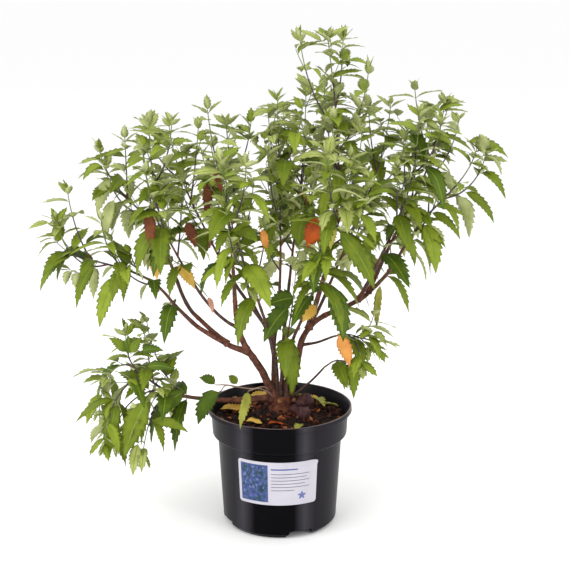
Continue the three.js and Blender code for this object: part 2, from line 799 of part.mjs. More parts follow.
// One three-sided stem, with opposite pairs of leaves at the nodes along it.
class Shoot {
  constructor(path, length, footRadius, random) {
    this.path = path;
    this.length = length;
    this.footRadius = footRadius;
    this.axis = squarestAxis(path);
    this.nodes = this.placeNodes(random);
    this.stem = this.solid();
  }

  // Each pair stands at right angles to the one below it, and a bud pair ends the stem.
  placeNodes(random) {
    const nodes = [];
    let angle = random() * 180;
    let place = TWIG.bareFoot;
    while (place < this.length - LEAF.tipSpacing * LEAF.lastShare) {
      const t = place / this.length;
      const pair = [0, 1].map(() => ({
        size: lerp(LEAF.footLength, LEAF.tipLength, t) * lerp(...LEAF.lengthSpread, random()),
        droop: lerp(...LEAF.droop, random()) * lerp(1, LEAF.tipDroopShare, t),
        opening: LEAF.opening,
      }));
      nodes.push({ place, angle, pair, blades: [] });
      angle += 90 + (random() - 0.5) * LEAF.angleSpread;
      const spacing = lerp(LEAF.footSpacing, LEAF.tipSpacing, t);
      place += spacing * lerp(...LEAF.spacingSpread, random());
    }
    const bud = { size: LEAF.budLength, droop: LEAF.budDroop, opening: LEAF.budOpening };
    nodes.push({ place: this.length - TWIG.nodeHeight, angle, pair: [bud, bud], blades: [] });
    return nodes;
  }

  // Holds the stem's surface to its path at a place where a side shoot leaves it.
  pin(place) {
    const near = this.nodes.find((node) => Math.abs(node.place - place) < TWIG.nodeHeight);
    if (near) near.pinned = true;
    else this.nodes.push({ place, angle: 0, pair: [], blades: [], pinned: true });
    this.nodes.sort((a, b) => a.place - b.place);
  }

  // The stem's centre, heading, first corner's direction and radius at a place.
  frameAt(place) {
    const t = THREE.MathUtils.clamp(place / this.length, 0, 1);
    const along = headingAlong(this.path, t);
    const across = this.axis.clone().addScaledVector(along, -this.axis.dot(along)).normalize();
    const radius = lerp(this.footRadius, TWIG.tipRadius, Math.pow(t, TWIG.taper));
    return { centre: pointAlong(this.path, t), along, across, radius };
  }

  // The middle of a node's face k, and the way it faces.
  faceAt(frame, k) {
    const turn = (360 * (k + 0.5)) / TWIG.sides;
    const normal = frame.across.clone().applyAxisAngle(frame.along, rad(turn));
    const inset = frame.radius * Math.cos(Math.PI / TWIG.sides);
    return { normal, root: frame.centre.clone().addScaledVector(normal, inset) };
  }

  // The free face of the node that a leaf standing outward leaves most squarely.
  bestFace(node, frame, outward) {
    const squareness = (k) => this.faceAt(frame, k).normal.dot(outward);
    const free = [...Array(TWIG.sides).keys()].filter((k) => !node.blades[k]);
    return free.reduce((a, b) => (squareness(b) > squareness(a) ? b : a));
  }

  ring(draft, place) {
    const { centre, along, across, radius } = this.frameAt(place);
    return Array.from({ length: TWIG.sides }, (_, k) => {
      const corner = across.clone().applyAxisAngle(along, (2 * Math.PI * k) / TWIG.sides);
      return draft.point(centre.clone().addScaledVector(corner, radius));
    });
  }

  solid() {
    const draft = new MeshDraft();
    const half = TWIG.nodeHeight / 2;
    let lower = this.ring(draft, 0);
    draft.triangles.push(...[...lower].reverse());
    const wall = (upper, blades) => {
      lower.forEach((corner, k) => {
        const next = (k + 1) % TWIG.sides;
        const corners = [corner, lower[next], upper[next], upper[k]];
        if (blades[k]) draft.blade(corners, blades[k]);
        else draft.face(corners);
      });
      lower = upper;
    };
    for (const { place, blades } of this.nodes) {
      if (blades.length) wall(this.ring(draft, place - half), []);
      wall(this.ring(draft, blades.length ? place + half : place), blades);
    }
    draft.triangles.push(...lower);
    return draft.solid();
  }
}

// One mass: its leader and the side shoots, with the leaves along them all.
class Mass {
  constructor(bough, seed, paths, leaders) {
    this.bough = bough;
    this.seed = seed;
    this.paths = paths;
    this.leaders = leaders;
    this.shoots = [];
    this.blades = [];
  }

  fits(p) {
    return (
      inSpace(this.bough.name, this.leaders, p) &&
      clearOfPot(p) &&
      clearOfLimbs(this.paths, p, LIMB.clearance)
    );
  }

  // Whether a leaf keeps to the mass's space, and off its stems and other leaves.
  leafFits(shoot, midrib, { left, right }, lone) {
    const between = midrib.slice(1).map((p, i) => p.clone().lerp(midrib[i], 0.5));
    const probes = [left, right, ...midrib.slice(1), ...between.slice(1)];
    if (!probes.every((p) => this.fits(p))) return false;
    const stems = this.shoots.filter((other) => other !== shoot).map((other) => other.stem);
    return ![...stems, ...this.blades].some((other) => meets(lone, other));
  }

  tryLeaf(shoot, node, leaf, outward) {
    const frame = shoot.frameAt(node.place);
    const face = shoot.bestFace(node, frame, outward);
    const { root } = shoot.faceAt(frame, face);
    const midrib = midribOf(root, frame.along, outward, leaf);
    const blade = bladeOf(midrib, frame.along, leaf.size);
    const lone = loneBlade(root, frame.along, blade);
    if (!this.leafFits(shoot, midrib, blade, lone)) return false;
    node.blades[face] = blade;
    this.blades.push(lone);
    return true;
  }

  // A leaf that doesn't fit is turned about its stem, made smaller, or else skipped.
  addLeaf(shoot, node, leaf, outward) {
    const { along } = shoot.frameAt(node.place);
    return LEAF.sizeTries.some((share) =>
      LEAF.swingTries.some((swing) => {
        const turnedOut = outward.clone().applyAxisAngle(along, rad(swing));
        return this.tryLeaf(shoot, node, { ...leaf, size: leaf.size * share }, turnedOut);
      }),
    );
  }

  addLeaves(shoot) {
    for (const node of shoot.nodes) {
      const outwards = pairDirections(shoot.frameAt(node.place).along, node.angle);
      node.pair.forEach((leaf, i) => this.addLeaf(shoot, node, leaf, outwards[i]));
    }
    const last = shoot.nodes[shoot.nodes.length - 1];
    const needed = (node) => node.blades.length || node.pinned || node === last;
    shoot.nodes = shoot.nodes.filter(needed);
  }

  // A side shoot curves up, or hangs, and ends where it would leave the mass's space.
  addSideShoot(leader, t, index) {
    const { hang = false, sideLength, length: leaderLength, spin } = this.bough.shoots;
    const random = makeRandom(this.seed + index + 1);
    const along = headingAlong(leader, t);
    const [outward] = pairDirections(along, spin + index * TWIG.goldenAngle);
    const heading = along
      .clone()
      .multiplyScalar(Math.cos(rad(TWIG.leaveAngle)))
      .addScaledVector(outward, Math.sin(rad(TWIG.leaveAngle)));
    const ahead = leaderLength * (1 - t) * lerp(...TWIG.aheadSpread, random());
    const reach = sideLength * lerp(...TWIG.reachSpread, random());
    const rise = riseOf(heading);
    const hanging = [rise * TWIG.hangShare, ...TWIG.hangRises];
    const rising = [rise, lerp(rise, TWIG.endRise, TWIG.middleShare), TWIG.endRise];
    const droops = hang && index % 3 !== 0;
    const length = droops ? reach : Math.min(ahead + TWIG.endMargin, reach);
    const course = {
      start: pointAlong(leader, t),
      azimuth: azimuthOf(heading),
      turn: (random() - 0.5) * TWIG.turnSpread,
      rise: droops ? hanging : rising,
      length,
    };
    const path = growPath(course, TWIG.step);
    const stray = path.findIndex((p, i) => i > 0 && !this.fits(p));
    const kept = stray < 0 ? path.length : stray;
    const keptLength = (length * (kept - 1)) / (path.length - 1);
    if (keptLength < TWIG.shortest) return;
    this.shoots[0].pin(t * leaderLength);
    this.shoots.push(new Shoot(path.slice(0, kept), keptLength, TWIG.sideRadius, random));
  }

  solid() {
    const { sides, length } = this.bough.shoots;
    const leader = this.leaders.get(this.bough.name);
    const random = makeRandom(this.seed);
    this.shoots.push(new Shoot(leader, length, this.bough.radius[1], random));
    for (let i = 0; i < sides; i++) {
      this.addSideShoot(leader, lerp(TWIG.firstSide, TWIG.lastSide, (i + 0.4) / sides), i);
    }
    for (const shoot of this.shoots) this.addLeaves(shoot);
    return largestBody(wasm.Manifold.union(this.shoots.map((shoot) => shoot.solid())));
  }
}

// Assembly

function finish(colour, roughness) {
  return new THREE.MeshStandardMaterial({ color: colour, roughness, metalness: 0 });
}

function buildShrub() {
  const shrub = new THREE.Group();
  const add = (name, solid, material) => {
    const mesh = new THREE.Mesh(geometryOf(solid), material);
    mesh.name = name;
    shrub.add(mesh);
  };
  add('pot', potSolid(), finish(COLOURS.pot, 0.35));
  add('label', labelSolid(), finish(COLOURS.label, 0.5));
  add('compost', soilSolid(), finish(COLOURS.soil, 0.95));
  add('woody_crown', crownSolid(0), finish(COLOURS.crown, 0.85));
  const paths = limbPaths();
  for (const [name, solid] of boughSolids(paths)) {
    add(`bough_${name}`, solid, finish(COLOURS.bough, 0.8));
  }
  const leaders = new Map(
    BOUGHS.map((bough) => [
      bough.name,
      growPath(leaderOf(bough, paths.get(bough.name)), TWIG.step),
    ]),
  );
  BOUGHS.forEach((bough, i) => {
    const mass = new Mass(bough, (i + 1) * SEED_STEP, paths, leaders);
    add(`shoots_${bough.name}`, mass.solid(), finish(COLOURS.leaf, 0.6));
  });
  return shrub;
}

export default buildShrub();
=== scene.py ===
"""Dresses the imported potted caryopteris: pot, label, compost, bark, shoots and leaves.

Sizes are in millimetres and degrees in the shrub's own frame, and become metres as the
meshes are made. The shoots grow by the rule of the shrub's solids, carried to finer twigs.
"""

import logging
import math
from collections.abc import Callable, Iterable, Sequence
from dataclasses import dataclass, replace
from enum import Enum

import bpy
import numpy as np
from mathutils import Euler, Matrix, Quaternion, Vector, noise

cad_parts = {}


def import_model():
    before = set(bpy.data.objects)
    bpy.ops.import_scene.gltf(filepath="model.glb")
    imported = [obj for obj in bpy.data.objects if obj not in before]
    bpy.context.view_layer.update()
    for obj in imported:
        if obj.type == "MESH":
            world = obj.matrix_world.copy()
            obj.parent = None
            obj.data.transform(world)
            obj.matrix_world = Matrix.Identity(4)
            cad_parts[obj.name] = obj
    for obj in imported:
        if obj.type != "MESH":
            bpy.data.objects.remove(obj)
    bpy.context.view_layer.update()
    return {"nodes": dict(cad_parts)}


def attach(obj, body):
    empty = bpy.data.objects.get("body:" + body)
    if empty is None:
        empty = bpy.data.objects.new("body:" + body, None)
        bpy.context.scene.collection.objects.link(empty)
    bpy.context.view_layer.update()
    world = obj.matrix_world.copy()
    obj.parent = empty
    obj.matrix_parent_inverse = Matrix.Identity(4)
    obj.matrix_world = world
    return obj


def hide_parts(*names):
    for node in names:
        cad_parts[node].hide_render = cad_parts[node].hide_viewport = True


Pair = tuple[float, float]
Triple = tuple[float, float, float]
Face = tuple[int, ...]
Shade = tuple[int, int, int]
Inputs = dict[str | int, object]
Socket = bpy.types.NodeSocket

LOG = logging.getLogger("caryopteris")
MM = 0.001
UP = Vector((0.0, 0.0, 1.0))
UPRIGHT = 0.01
GAP = 0.3
SEED_STEP = 100
BODY = "root"


@dataclass(frozen=True)
class Shoots:
    """The mass that grows on from a bough's tip: its leading shoot and side shoots."""

    turn: float
    rise: tuple[float, ...]
    length: float
    sides: int
    side_length: float
    spin: float
    hang: bool = False


@dataclass(frozen=True)
class Bough:
    """A bough, what it leaves and how far along that limb, and its mass of shoots."""

    name: str
    source: str
    azimuth: float
    turn: float
    rise: tuple[float, ...]
    length: float
    radius: Pair
    shoots: Shoots
    at: float = 0.0


BOUGHS: tuple[Bough, ...] = (
    Bough("left_up", "crown", 206, -30, (68, 66, 54, 72, 86, 88), 170, (6, 2.6),
          Shoots(4, (85, 79, 79, 84), 228, 4, 100, 40)),
    Bough("left_low", "left_up", 194, -10, (12, 32, 34, 50), 98, (3.8, 2.6),
          Shoots(-6, (54, 28, 17, 14, 58, 86), 218, 6, 84, 100), at=0.46),
    Bough("left_mid", "left_low", 168, 0, (38, 40, 44, 66, 72), 110, (3.2, 2.3),
          Shoots(10, (72, 52, 42, 60, 78), 196, 4, 84, 10), at=0.3),
    Bough("left_front", "left_up", 214, -8, (30, 50, 62), 104, (2.2, 1.7),
          Shoots(-26, (64, 80, 86, 90), 204, 4, 90, 70), at=0.66),
    Bough("centre", "crown", 200, 0, (84, 91, 92, 99, 92), 134, (2.9, 2.1),
          Shoots(0, (90, 91, 92, 91), 264, 5, 100, 200)),
    Bough("centre_left", "centre", 164, -8, (70, 56, 74, 82), 118, (2.6, 1.9),
          Shoots(24, (84, 83, 86), 184, 3, 84, 150), at=0.54),
    Bough("right_low", "crown", 8, -16, (72, 78, 82, 48, 22, 30, 52), 206, (4.8, 2.8),
          Shoots(10, (62, 56, 46, 52, 78), 220, 5, 84, 70)),
    Bough("right_up", "right_low", 2, 0, (78, 72, 76, 80), 118, (3.7, 2.6),
          Shoots(0, (86, 93, 94, 97, 98), 266, 6, 116, 330), at=0.48),
    Bough("right_mid", "right_low", 38, -10, (58, 62), 62, (3, 2.3),
          Shoots(-12, (58, 64, 74, 84), 208, 4, 92, 60), at=0.93),
    Bough("right_front", "right_low", 300, 14, (50, 62), 66, (3, 2.2),
          Shoots(30, (64, 72, 84, 88), 208, 4, 90, 210), at=0.85),
    Bough("rim_right", "right_low", 330, -4, (12, 22, 30), 52, (1.9, 1.4),
          Shoots(8, (10, -24, -56), 60, 3, 66, 250, hang=True), at=0.36),
    Bough("rim_twig", "crown", 341, 2, (38, 44, 52), 70, (1.8, 1.2),
          Shoots(0, (20, -20, -60), 50, 0, 0, 0, hang=True)),
    Bough("rim_left", "crown", 194, 0, (0, 0, 5, 12), 98, (4.8, 2.9),
          Shoots(-8, (18, 38, 42, 78, 92), 150, 6, 122, 20, hang=True)),
    Bough("front_left", "crown", 244, 6, (88, 80, 52, 54), 160, (2.6, 1.8),
          Shoots(-26, (58, 72, 86), 214, 4, 96, 120)),
    Bough("front_right", "crown", 302, -8, (86, 78, 52, 54), 162, (2.6, 1.8),
          Shoots(20, (58, 70, 86), 218, 4, 96, 300)),
    Bough("back_left", "crown", 132, 12, (86, 86, 72, 42, 42, 52), 180, (3, 2.1),
          Shoots(14, (58, 60, 72, 84), 226, 5, 100, 40)),
    Bough("back_centre", "crown", 86, -8, (80, 68, 52, 62), 160, (3, 2.1),
          Shoots(-14, (62, 70, 82, 88), 262, 5, 100, 150)),
    Bough("back_right", "crown", 46, -4, (76, 62, 50, 60), 162, (3, 2.1),
          Shoots(-6, (58, 60, 72, 84), 262, 5, 100, 260)),
    Bough("front_low", "crown", 262, 79, (72, 80, 80), 70, (2, 1.5),
          Shoots(0, (80, 82, 86), 112, 1, 60, 90)),
)


@dataclass(frozen=True)
class CrownSizes:
    """The woody crown that all the boughs leave."""

    x: float = 2.0
    y: float = 16.0
    radius: float = 23.0
    neck: float = 14.0
    height: float = 21.0
    flare: tuple[Pair, ...] = ((1, 0), (0.8, 0.12), (0.3, 0.34), (0.12, 0.6), (0, 0.8))
    top_radius: float = 8.5
    top_share: float = 0.97
    lobes: float = 0.12


@dataclass(frozen=True)
class PotSizes:
    """The nursery pot's outside, and the compost in it."""

    height: float = 158.0
    base_radius: float = 75.0
    body_top_radius: float = 81.5
    collar_radius: float = 88.5
    lip_radius: float = 95.0
    collar_height: float = 40.0
    lip_height: float = 6.0
    lip_wall: float = 2.6
    wall: float = 1.8
    floor: float = 2.0
    corner_radius: float = 6.0
    inside_corner: float = 3.0
    step_height: float = 6.0
    collar_draft: float = 1.6
    soil_edge: float = 140.0
    mound_height: float = 148.0
    mound_radius: float = 62.0
    pad_radius: float = 38.0
    bump: float = 0.8
    ripples: Triple = (0.11, 0.13, 0.19)
    ripple_shift: float = 1.3

    def shoulder(self) -> float:
        """Returns the height at which the body steps out to the collar."""
        return self.height - self.collar_height - self.wall

    def radius_at(self, level: float) -> float:
        """Returns the body's outside radius at a height above the pot's underside."""
        share = (level - self.corner_radius) / (self.shoulder() - self.corner_radius)
        return lerp(self.base_radius, self.body_top_radius, share)

    def soil_height(self, x: float, y: float) -> float:
        """Works out the height of the compost's top.

        Args:
            x: Place to the right.
            y: Place to the back.

        Returns:
            The height above the pot's underside.
        """
        away = math.hypot(x - CROWN.x, y - CROWN.y)
        share = smoothstep(away, self.pad_radius, self.mound_radius)
        level = lerp(self.mound_height, self.soil_edge, share)
        right, back, across = self.ripples
        ripple = math.sin(x * right + self.ripple_shift) * math.cos(y * back)
        return level + self.bump * share * (ripple + math.sin((x - y) * across))


@dataclass(frozen=True)
class LimbRule:
    """How the boughs taper and stand on the crown."""

    step: float = 21.0
    taper: float = 0.8
    flare: float = 0.22
    flare_length: float = 0.17
    clearance: float = 2.5
    out_share: float = 0.7
    root_share: float = 0.62
    low_rise: float = 30.0
    low_root_share: float = 0.7


@dataclass(frozen=True)
class TwigRule:
    """How the shoots branch."""

    step: float = 20.0
    tip_radius: float = 0.55
    side_radius: float = 1.35
    taper: float = 0.7
    bare_foot: float = 18.0
    leave_angle: float = 42.0
    golden_angle: float = 137.5
    first_side: float = 0.1
    last_side: float = 0.72
    side_offset: float = 0.4
    rising_every: int = 3
    middle_share: float = 0.6
    end_rise: float = 84.0
    hang_share: float = 0.4
    hang_rises: tuple[float, ...] = (-36.0, -68.0, -80.0)
    turn_spread: float = 30.0
    ahead_spread: Pair = (0.7, 1.0)
    reach_spread: Pair = (0.8, 1.15)
    shortest: float = 36.0
    end_margin: float = 26.0


@dataclass(frozen=True)
class LeafRule:
    """How large the leaves are, and how they stand on a shoot."""

    foot_length: float = 72.0
    tip_length: float = 40.0
    length_spread: Pair = (0.82, 1.16)
    half_width_share: float = 0.156
    foot_spacing: float = 37.0
    tip_spacing: float = 28.5
    spacing_spread: Pair = (0.85, 1.15)
    last_share: float = 0.7
    angle_spread: float = 30.0
    opening: float = 62.0
    droop: Pair = (40.0, 115.0)
    tip_droop_share: float = 0.45
    middle_droop: float = 0.7
    steepest: float = -86.0
    size_tries: tuple[float, ...] = (1.0, 0.72)
    swing_tries: tuple[float, ...] = (0.0, 30.0, -30.0, 60.0, -60.0)
    margin: float = 1.1
    over_pot: float = 3.0
    beside_pot: float = 2.0
    ground: float = 6.0


CROWN = CrownSizes()
POT = PotSizes()
LIMB = LimbRule()
TWIG = TwigRule()
LEAF = LeafRule()
CROWN_FOOT = POT.mound_height + GAP


def lerp(a: float, b: float, t: float) -> float:
    """Returns the value a share of the way from one number to another."""
    return a + (b - a) * t


def smoothstep(value: float, low: float, high: float) -> float:
    """Returns a value eased from 0 at its low limit to 1 at its high limit."""
    t = min(max((value - low) / (high - low), 0.0), 1.0)
    return t * t * (3 - 2 * t)


def step_at(count: int, t: float) -> tuple[int, float]:
    """Finds a place among evenly spaced entries.

    Args:
        count: How many entries there are.
        t: The place along them, from 0 to 1.

    Returns:
        The number of the entry before it, and the share of the way to the next.
    """
    place = min(max(t, 0.0), 1.0) * (count - 1)
    i = min(int(place), count - 2)
    return i, place - i


def value_at(values: Sequence[float], t: float) -> float:
    """Returns the value at a share of an evenly spaced list."""
    i, rest = step_at(len(values), t)
    return lerp(values[i], values[i + 1], rest)


def direction(azimuth: float, rise: float) -> Vector:
    """Returns the heading with an azimuth from +X and a rise, both in degrees."""
    a, r = math.radians(azimuth), math.radians(rise)
    return Vector((math.cos(r) * math.cos(a), math.cos(r) * math.sin(a), math.sin(r)))


def circle(sides: int) -> list[Pair]:
    """Returns the cosines and sines of evenly spaced angles, once round."""
    angles = [2 * math.pi * k / sides for k in range(sides)]
    return [(math.cos(angle), math.sin(angle)) for angle in angles]


def azimuth_of(heading: Vector) -> float:
    """Returns the azimuth of a heading in degrees."""
    return math.degrees(math.atan2(heading.y, heading.x))


def rise_of(heading: Vector) -> float:
    """Returns the rise of a heading in degrees."""
    return math.degrees(math.asin(max(-1.0, min(1.0, heading.z / heading.length))))


class Draws:
    """A stream of numbers from 0 to 1, the same on every run."""

    MASK = 0xFFFFFFFF
    STRIDE = 0x6D2B79F5

    def __init__(self, seed: int) -> None:
        """Starts the stream at a seed."""
        self.state = seed & self.MASK

    def __call__(self) -> float:
        """Makes the next number by shifts and products of the state.

        Returns:
            The number.
        """
        self.state = (self.state + self.STRIDE) & self.MASK
        t = self.state
        t = ((t ^ (t >> 15)) * (t | 1)) & self.MASK
        t ^= (t + (t ^ (t >> 7)) * (t | 61)) & self.MASK
        return (t ^ (t >> 14)) / (self.MASK + 1)

    def between(self, low: float, high: float) -> float:
        """Returns a number between two limits."""
        return lerp(low, high, self())


class Path:
    """A line of points along a limb, a shoot or a midrib."""

    def __init__(self, points: Sequence[Vector]) -> None:
        """Keeps the points."""
        self.points = list(points)

    @classmethod
    def grown(cls, start: Vector, azimuth: float, turn: float, rise: Sequence[float],
              length: float, step: float) -> "Path":
        """Grows a line that changes its heading evenly.

        Args:
            start: Its first point.
            azimuth: Its azimuth at the foot.
            turn: The swing of its azimuth from foot to tip.
            rise: Its rise, in even steps from foot to tip.
            length: Its length.
            step: The length of one step, about.

        Returns:
            The line.
        """
        count = max(2, math.floor(length / step + 0.5))
        points = [start.copy()]
        for i in range(count):
            t = (i + 0.5) / count
            heading = direction(azimuth + turn * t, value_at(rise, t))
            points.append(points[-1] + heading * (length / count))
        return cls(points)

    def at(self, t: float) -> Vector:
        """Returns the point at a share of the line."""
        i, rest = step_at(len(self.points), t)
        return self.points[i].lerp(self.points[i + 1], rest)

    def heading(self, t: float) -> Vector:
        """Returns the heading of the step at a share of the line."""
        i, _ = step_at(len(self.points), t)
        return (self.points[i + 1] - self.points[i]).normalized()

    def smooth(self, per_step: int) -> "Path":
        """Rounds the corners between the steps.

        Args:
            per_step: How many points each step becomes.

        Returns:
            A finer line through the same points.
        """
        p = self.points
        fine = []
        for i in range(len(p) - 1):
            before = p[i - 1] if i else p[0] * 2 - p[1]
            after = p[i + 2] if i + 2 < len(p) else p[-1] * 2 - p[-2]
            for k in range(per_step):
                t = k / per_step
                fine.append(0.5 * (
                    2 * p[i] + (p[i + 1] - before) * t
                    + (2 * before - 5 * p[i] + 4 * p[i + 1] - after) * t * t
                    + (3 * p[i] - before - 3 * p[i + 1] + after) * t * t * t
                ))
        return Path([*fine, p[-1].copy()])


class Segments:
    """Straight pieces of many lines, for distances from many points at once."""

    def __init__(self, lines: dict[str, Path]) -> None:
        """Lists the pieces of every line, each with its line and its place along it.

        Args:
            lines: The lines by name.
        """
        self.names = list(lines)
        starts, ends, owners, foots, counts = [], [], [], [], []
        for k, path in enumerate(lines.values()):
            steps = len(path.points) - 1
            starts.extend(point[:] for point in path.points[:-1])
            ends.extend(point[:] for point in path.points[1:])
            owners.extend([k] * steps)
            foots.extend(range(steps))
            counts.extend([steps] * steps)
        self.start = np.array(starts)
        self.along = np.array(ends) - self.start
        self.square = (self.along ** 2).sum(axis=1)
        self.owner = np.array(owners)
        self.foot = np.array(foots)
        self.count = np.array(counts)

    def measure(self, points: np.ndarray) -> tuple[np.ndarray, np.ndarray]:
        """Measures how far points are from every piece.

        Args:
            points: One point a row.

        Returns:
            The distances, and the shares along the pieces' own lines.
        """
        offset = points[:, None, :] - self.start[None]
        t = np.clip((offset * self.along).sum(axis=2) / self.square, 0, 1)
        distance = np.linalg.norm(offset - self.along * t[..., None], axis=2)
        return distance, (self.foot + t) / self.count


class Skeleton:
    """All the boughs' and leading shoots' lines, and the space that each mass keeps."""

    def __init__(self) -> None:
        """Grows the lines."""
        self.limbs: dict[str, Path] = {}
        for bough in BOUGHS:
            start = self.limb_start(bough)
            self.limbs[bough.name] = Path.grown(
                start, bough.azimuth, bough.turn, bough.rise, bough.length, LIMB.step)
        self.leaders = {bough.name: self.leader_of(bough) for bough in BOUGHS}
        self.leader_segments = Segments(self.leaders)
        self.limb_segments = Segments(self.limbs)
        radii = np.array([bough.radius for bough in BOUGHS])
        self.limb_foot = radii[self.limb_segments.owner, 0]
        self.limb_tip = radii[self.limb_segments.owner, 1]

    def limb_start(self, bough: Bough) -> Vector:
        """Finds where a bough starts.

        Args:
            bough: The bough.

        Returns:
            A point inside the crown, or on the axis of the limb that it leaves.
        """
        if bough.source != "crown":
            return self.limbs[bough.source].at(bough.at)
        out = direction(bough.azimuth, 0) * (CROWN.neck * LIMB.out_share)
        low = bough.rise[0] < LIMB.low_rise
        share = LIMB.low_root_share if low else LIMB.root_share
        return Vector((CROWN.x, CROWN.y, CROWN_FOOT + CROWN.height * share)) + out

    def leader_of(self, bough: Bough) -> Path:
        """Grows the leading shoot's line.

        Args:
            bough: The bough that it grows on from.

        Returns:
            The line.
        """
        limb = self.limbs[bough.name]
        heading = limb.heading(1.0)
        rise = (rise_of(heading), *bough.shoots.rise)
        start = limb.points[-1] + heading * GAP
        return Path.grown(start, azimuth_of(heading), bough.shoots.turn, rise,
                          bough.shoots.length, TWIG.step)

    @staticmethod
    def limb_radius(foot: np.ndarray, tip: np.ndarray, t: np.ndarray) -> np.ndarray:
        """Returns boughs' radii at shares of their length, from those at foot and tip."""
        flare = foot * LIMB.flare * np.maximum(0, 1 - t / LIMB.flare_length)
        return foot + (tip - foot) * t ** LIMB.taper + flare

    def fits(self, name: str, points: Sequence[Vector]) -> np.ndarray:
        """Tells which points are free for a mass.

        Args:
            name: The mass's bough.
            points: The points.

        Returns:
            True for each point in the mass's space and clear of pot, ground and limbs.
        """
        p = np.array([point[:] for point in points])
        away, _ = self.leader_segments.measure(p)
        own = self.leader_segments.owner == self.leader_segments.names.index(name)
        nearest = away[:, own].min(axis=1) + LEAF.margin
        inside = away[:, ~own].min(axis=1) - LEAF.margin >= nearest
        beside = np.hypot(p[:, 0], p[:, 1]) > POT.lip_radius + LEAF.beside_pot
        over = p[:, 2] > POT.height + LEAF.over_pot
        off_pot = (beside | over) & (p[:, 2] > LEAF.ground)
        far, t = self.limb_segments.measure(p)
        radius = self.limb_radius(self.limb_foot, self.limb_tip, t)
        off_limbs = (far > radius + LIMB.clearance).all(axis=1)
        return inside & off_pot & off_limbs


def linear(shade: Shade) -> tuple[float, ...]:
    """Returns a screen colour made linear by the standard curve, with full alpha."""
    parts = [value / 255 for value in shade]
    return (*(s / 12.92 if s <= 0.04045 else ((s + 0.055) / 1.055) ** 2.4 for s in parts), 1.0)


class NodeSheet:
    """One material and the calls that lay out its nodes."""

    def __init__(self, name: str) -> None:
        """Starts a material with its shader and the piece's own coordinates.

        Args:
            name: The material's name.
        """
        self.material = bpy.data.materials.new(name)
        self.material.use_nodes = True
        self.tree = self.material.node_tree
        self.tree.nodes.clear()
        self.shader = self.add("BsdfPrincipled")
        self.add("OutputMaterial", {"Surface": self.shader.outputs["BSDF"]})
        self.place = self.add("TexCoord").outputs["Object"]

    def add(self, kind: str, inputs: Inputs | None = None) -> bpy.types.Node:
        """Returns a new node with some of its inputs linked or set."""
        return self.put(self.tree.nodes.new(f"ShaderNode{kind}"), inputs or {})

    def put(self, node: bpy.types.Node, inputs: Inputs) -> bpy.types.Node:
        """Links or sets some of a node's inputs.

        Args:
            node: The node.
            inputs: The socket that leads to each input, or the value that it holds.

        Returns:
            The node.
        """
        for name, value in inputs.items():
            if isinstance(value, Socket):
                self.tree.links.new(value, node.inputs[name])
            else:
                node.inputs[name].default_value = value
        return node

    def stretched(self, scale: Triple) -> Socket:
        """Returns the coordinates stretched along each axis."""
        return self.add("Mapping", {"Scale": scale, "Vector": self.place}).outputs["Vector"]

    def noise(self, scale: float, detail: float, place: Socket) -> Socket:
        """Returns a cloudy pattern's strength, so many clouds to the metre."""
        inputs = {"Scale": scale, "Detail": detail, "Vector": place}
        return self.add("TexNoise", inputs).outputs["Fac"]

    def across(self, width: float) -> Socket:
        """Tells places along X apart.

        Args:
            width: The width about the middle over which they run from 0 to 1.

        Returns:
            The place of each point.
        """
        axes = self.add("SeparateXYZ", {"Vector": self.place})
        node = self.add("Math")
        node.operation = "MULTIPLY_ADD"
        self.put(node, {0: axes.outputs["X"], 1: 1.0 / width, 2: 0.5})
        return node.outputs["Value"]

    def ramp(self, strength: Socket, stops: Sequence[tuple[float, tuple]]) -> Socket:
        """Turns a strength into colours.

        Args:
            strength: The pattern's strength.
            stops: Places from 0 to 1 with the colour at each.

        Returns:
            The colour.
        """
        node = self.add("ValToRGB", {"Fac": strength})
        entries = node.color_ramp.elements
        while len(entries) < len(stops):
            entries.new(0.5)
        for entry, (place, colour) in zip(entries, stops):
            entry.position = place
            entry.color = colour
        return node.outputs["Color"]

    def span(self, strength: Socket, low: float, high: float) -> Socket:
        """Returns a pattern's strength spread between two values."""
        inputs = {"Value": strength, "To Min": low, "To Max": high}
        return self.add("MapRange", inputs).outputs["Result"]

    def bump(self, height: Socket, depth: float) -> Socket:
        """Returns the surface dented by a pattern, so many millimetres deep."""
        inputs = {"Strength": 1.0, "Distance": depth * MM, "Height": height}
        return self.add("Bump", inputs).outputs["Normal"]


@dataclass(frozen=True)
class Finish:
    """A mottled natural surface: two tones in clouds, its roughness and its fine relief."""

    name: str
    tone: Shade
    dark: Shade
    clouds: float = 90.0
    rough: Pair = (0.5, 0.7)
    relief: float = 0.1
    grain: float = 900.0
    stretch: Triple = (1.0, 1.0, 1.0)
    gloss: float = 0.25
    grain_detail: float = 3.0
    cloud_detail: float = 4.0
    dark_until: float = 0.32
    tone_from: float = 0.68

    def material(self) -> bpy.types.Material:
        """Returns the material, made on its first use."""
        made = bpy.data.materials.get(self.name)
        return made if made else self.lay_out(NodeSheet(self.name))

    def lay_out(self, sheet: NodeSheet) -> bpy.types.Material:
        """Lays out the nodes.

        Args:
            sheet: The new material.

        Returns:
            The finished material.
        """
        place = sheet.stretched(self.stretch)
        fine = sheet.noise(self.grain, self.grain_detail, place)
        sheet.put(sheet.shader, {
            "Base Color": self.colour(sheet, place),
            "Roughness": sheet.span(fine, *self.rough),
            "Specular IOR Level": self.gloss,
            "Normal": sheet.bump(fine, self.relief),
        })
        return sheet.material

    def colour(self, sheet: NodeSheet, place: Socket) -> Socket:
        """Returns the two tones in clouds."""
        tones = [(self.dark_until, linear(self.dark)), (self.tone_from, linear(self.tone))]
        return sheet.ramp(sheet.noise(self.clouds, self.cloud_detail, place), tones)


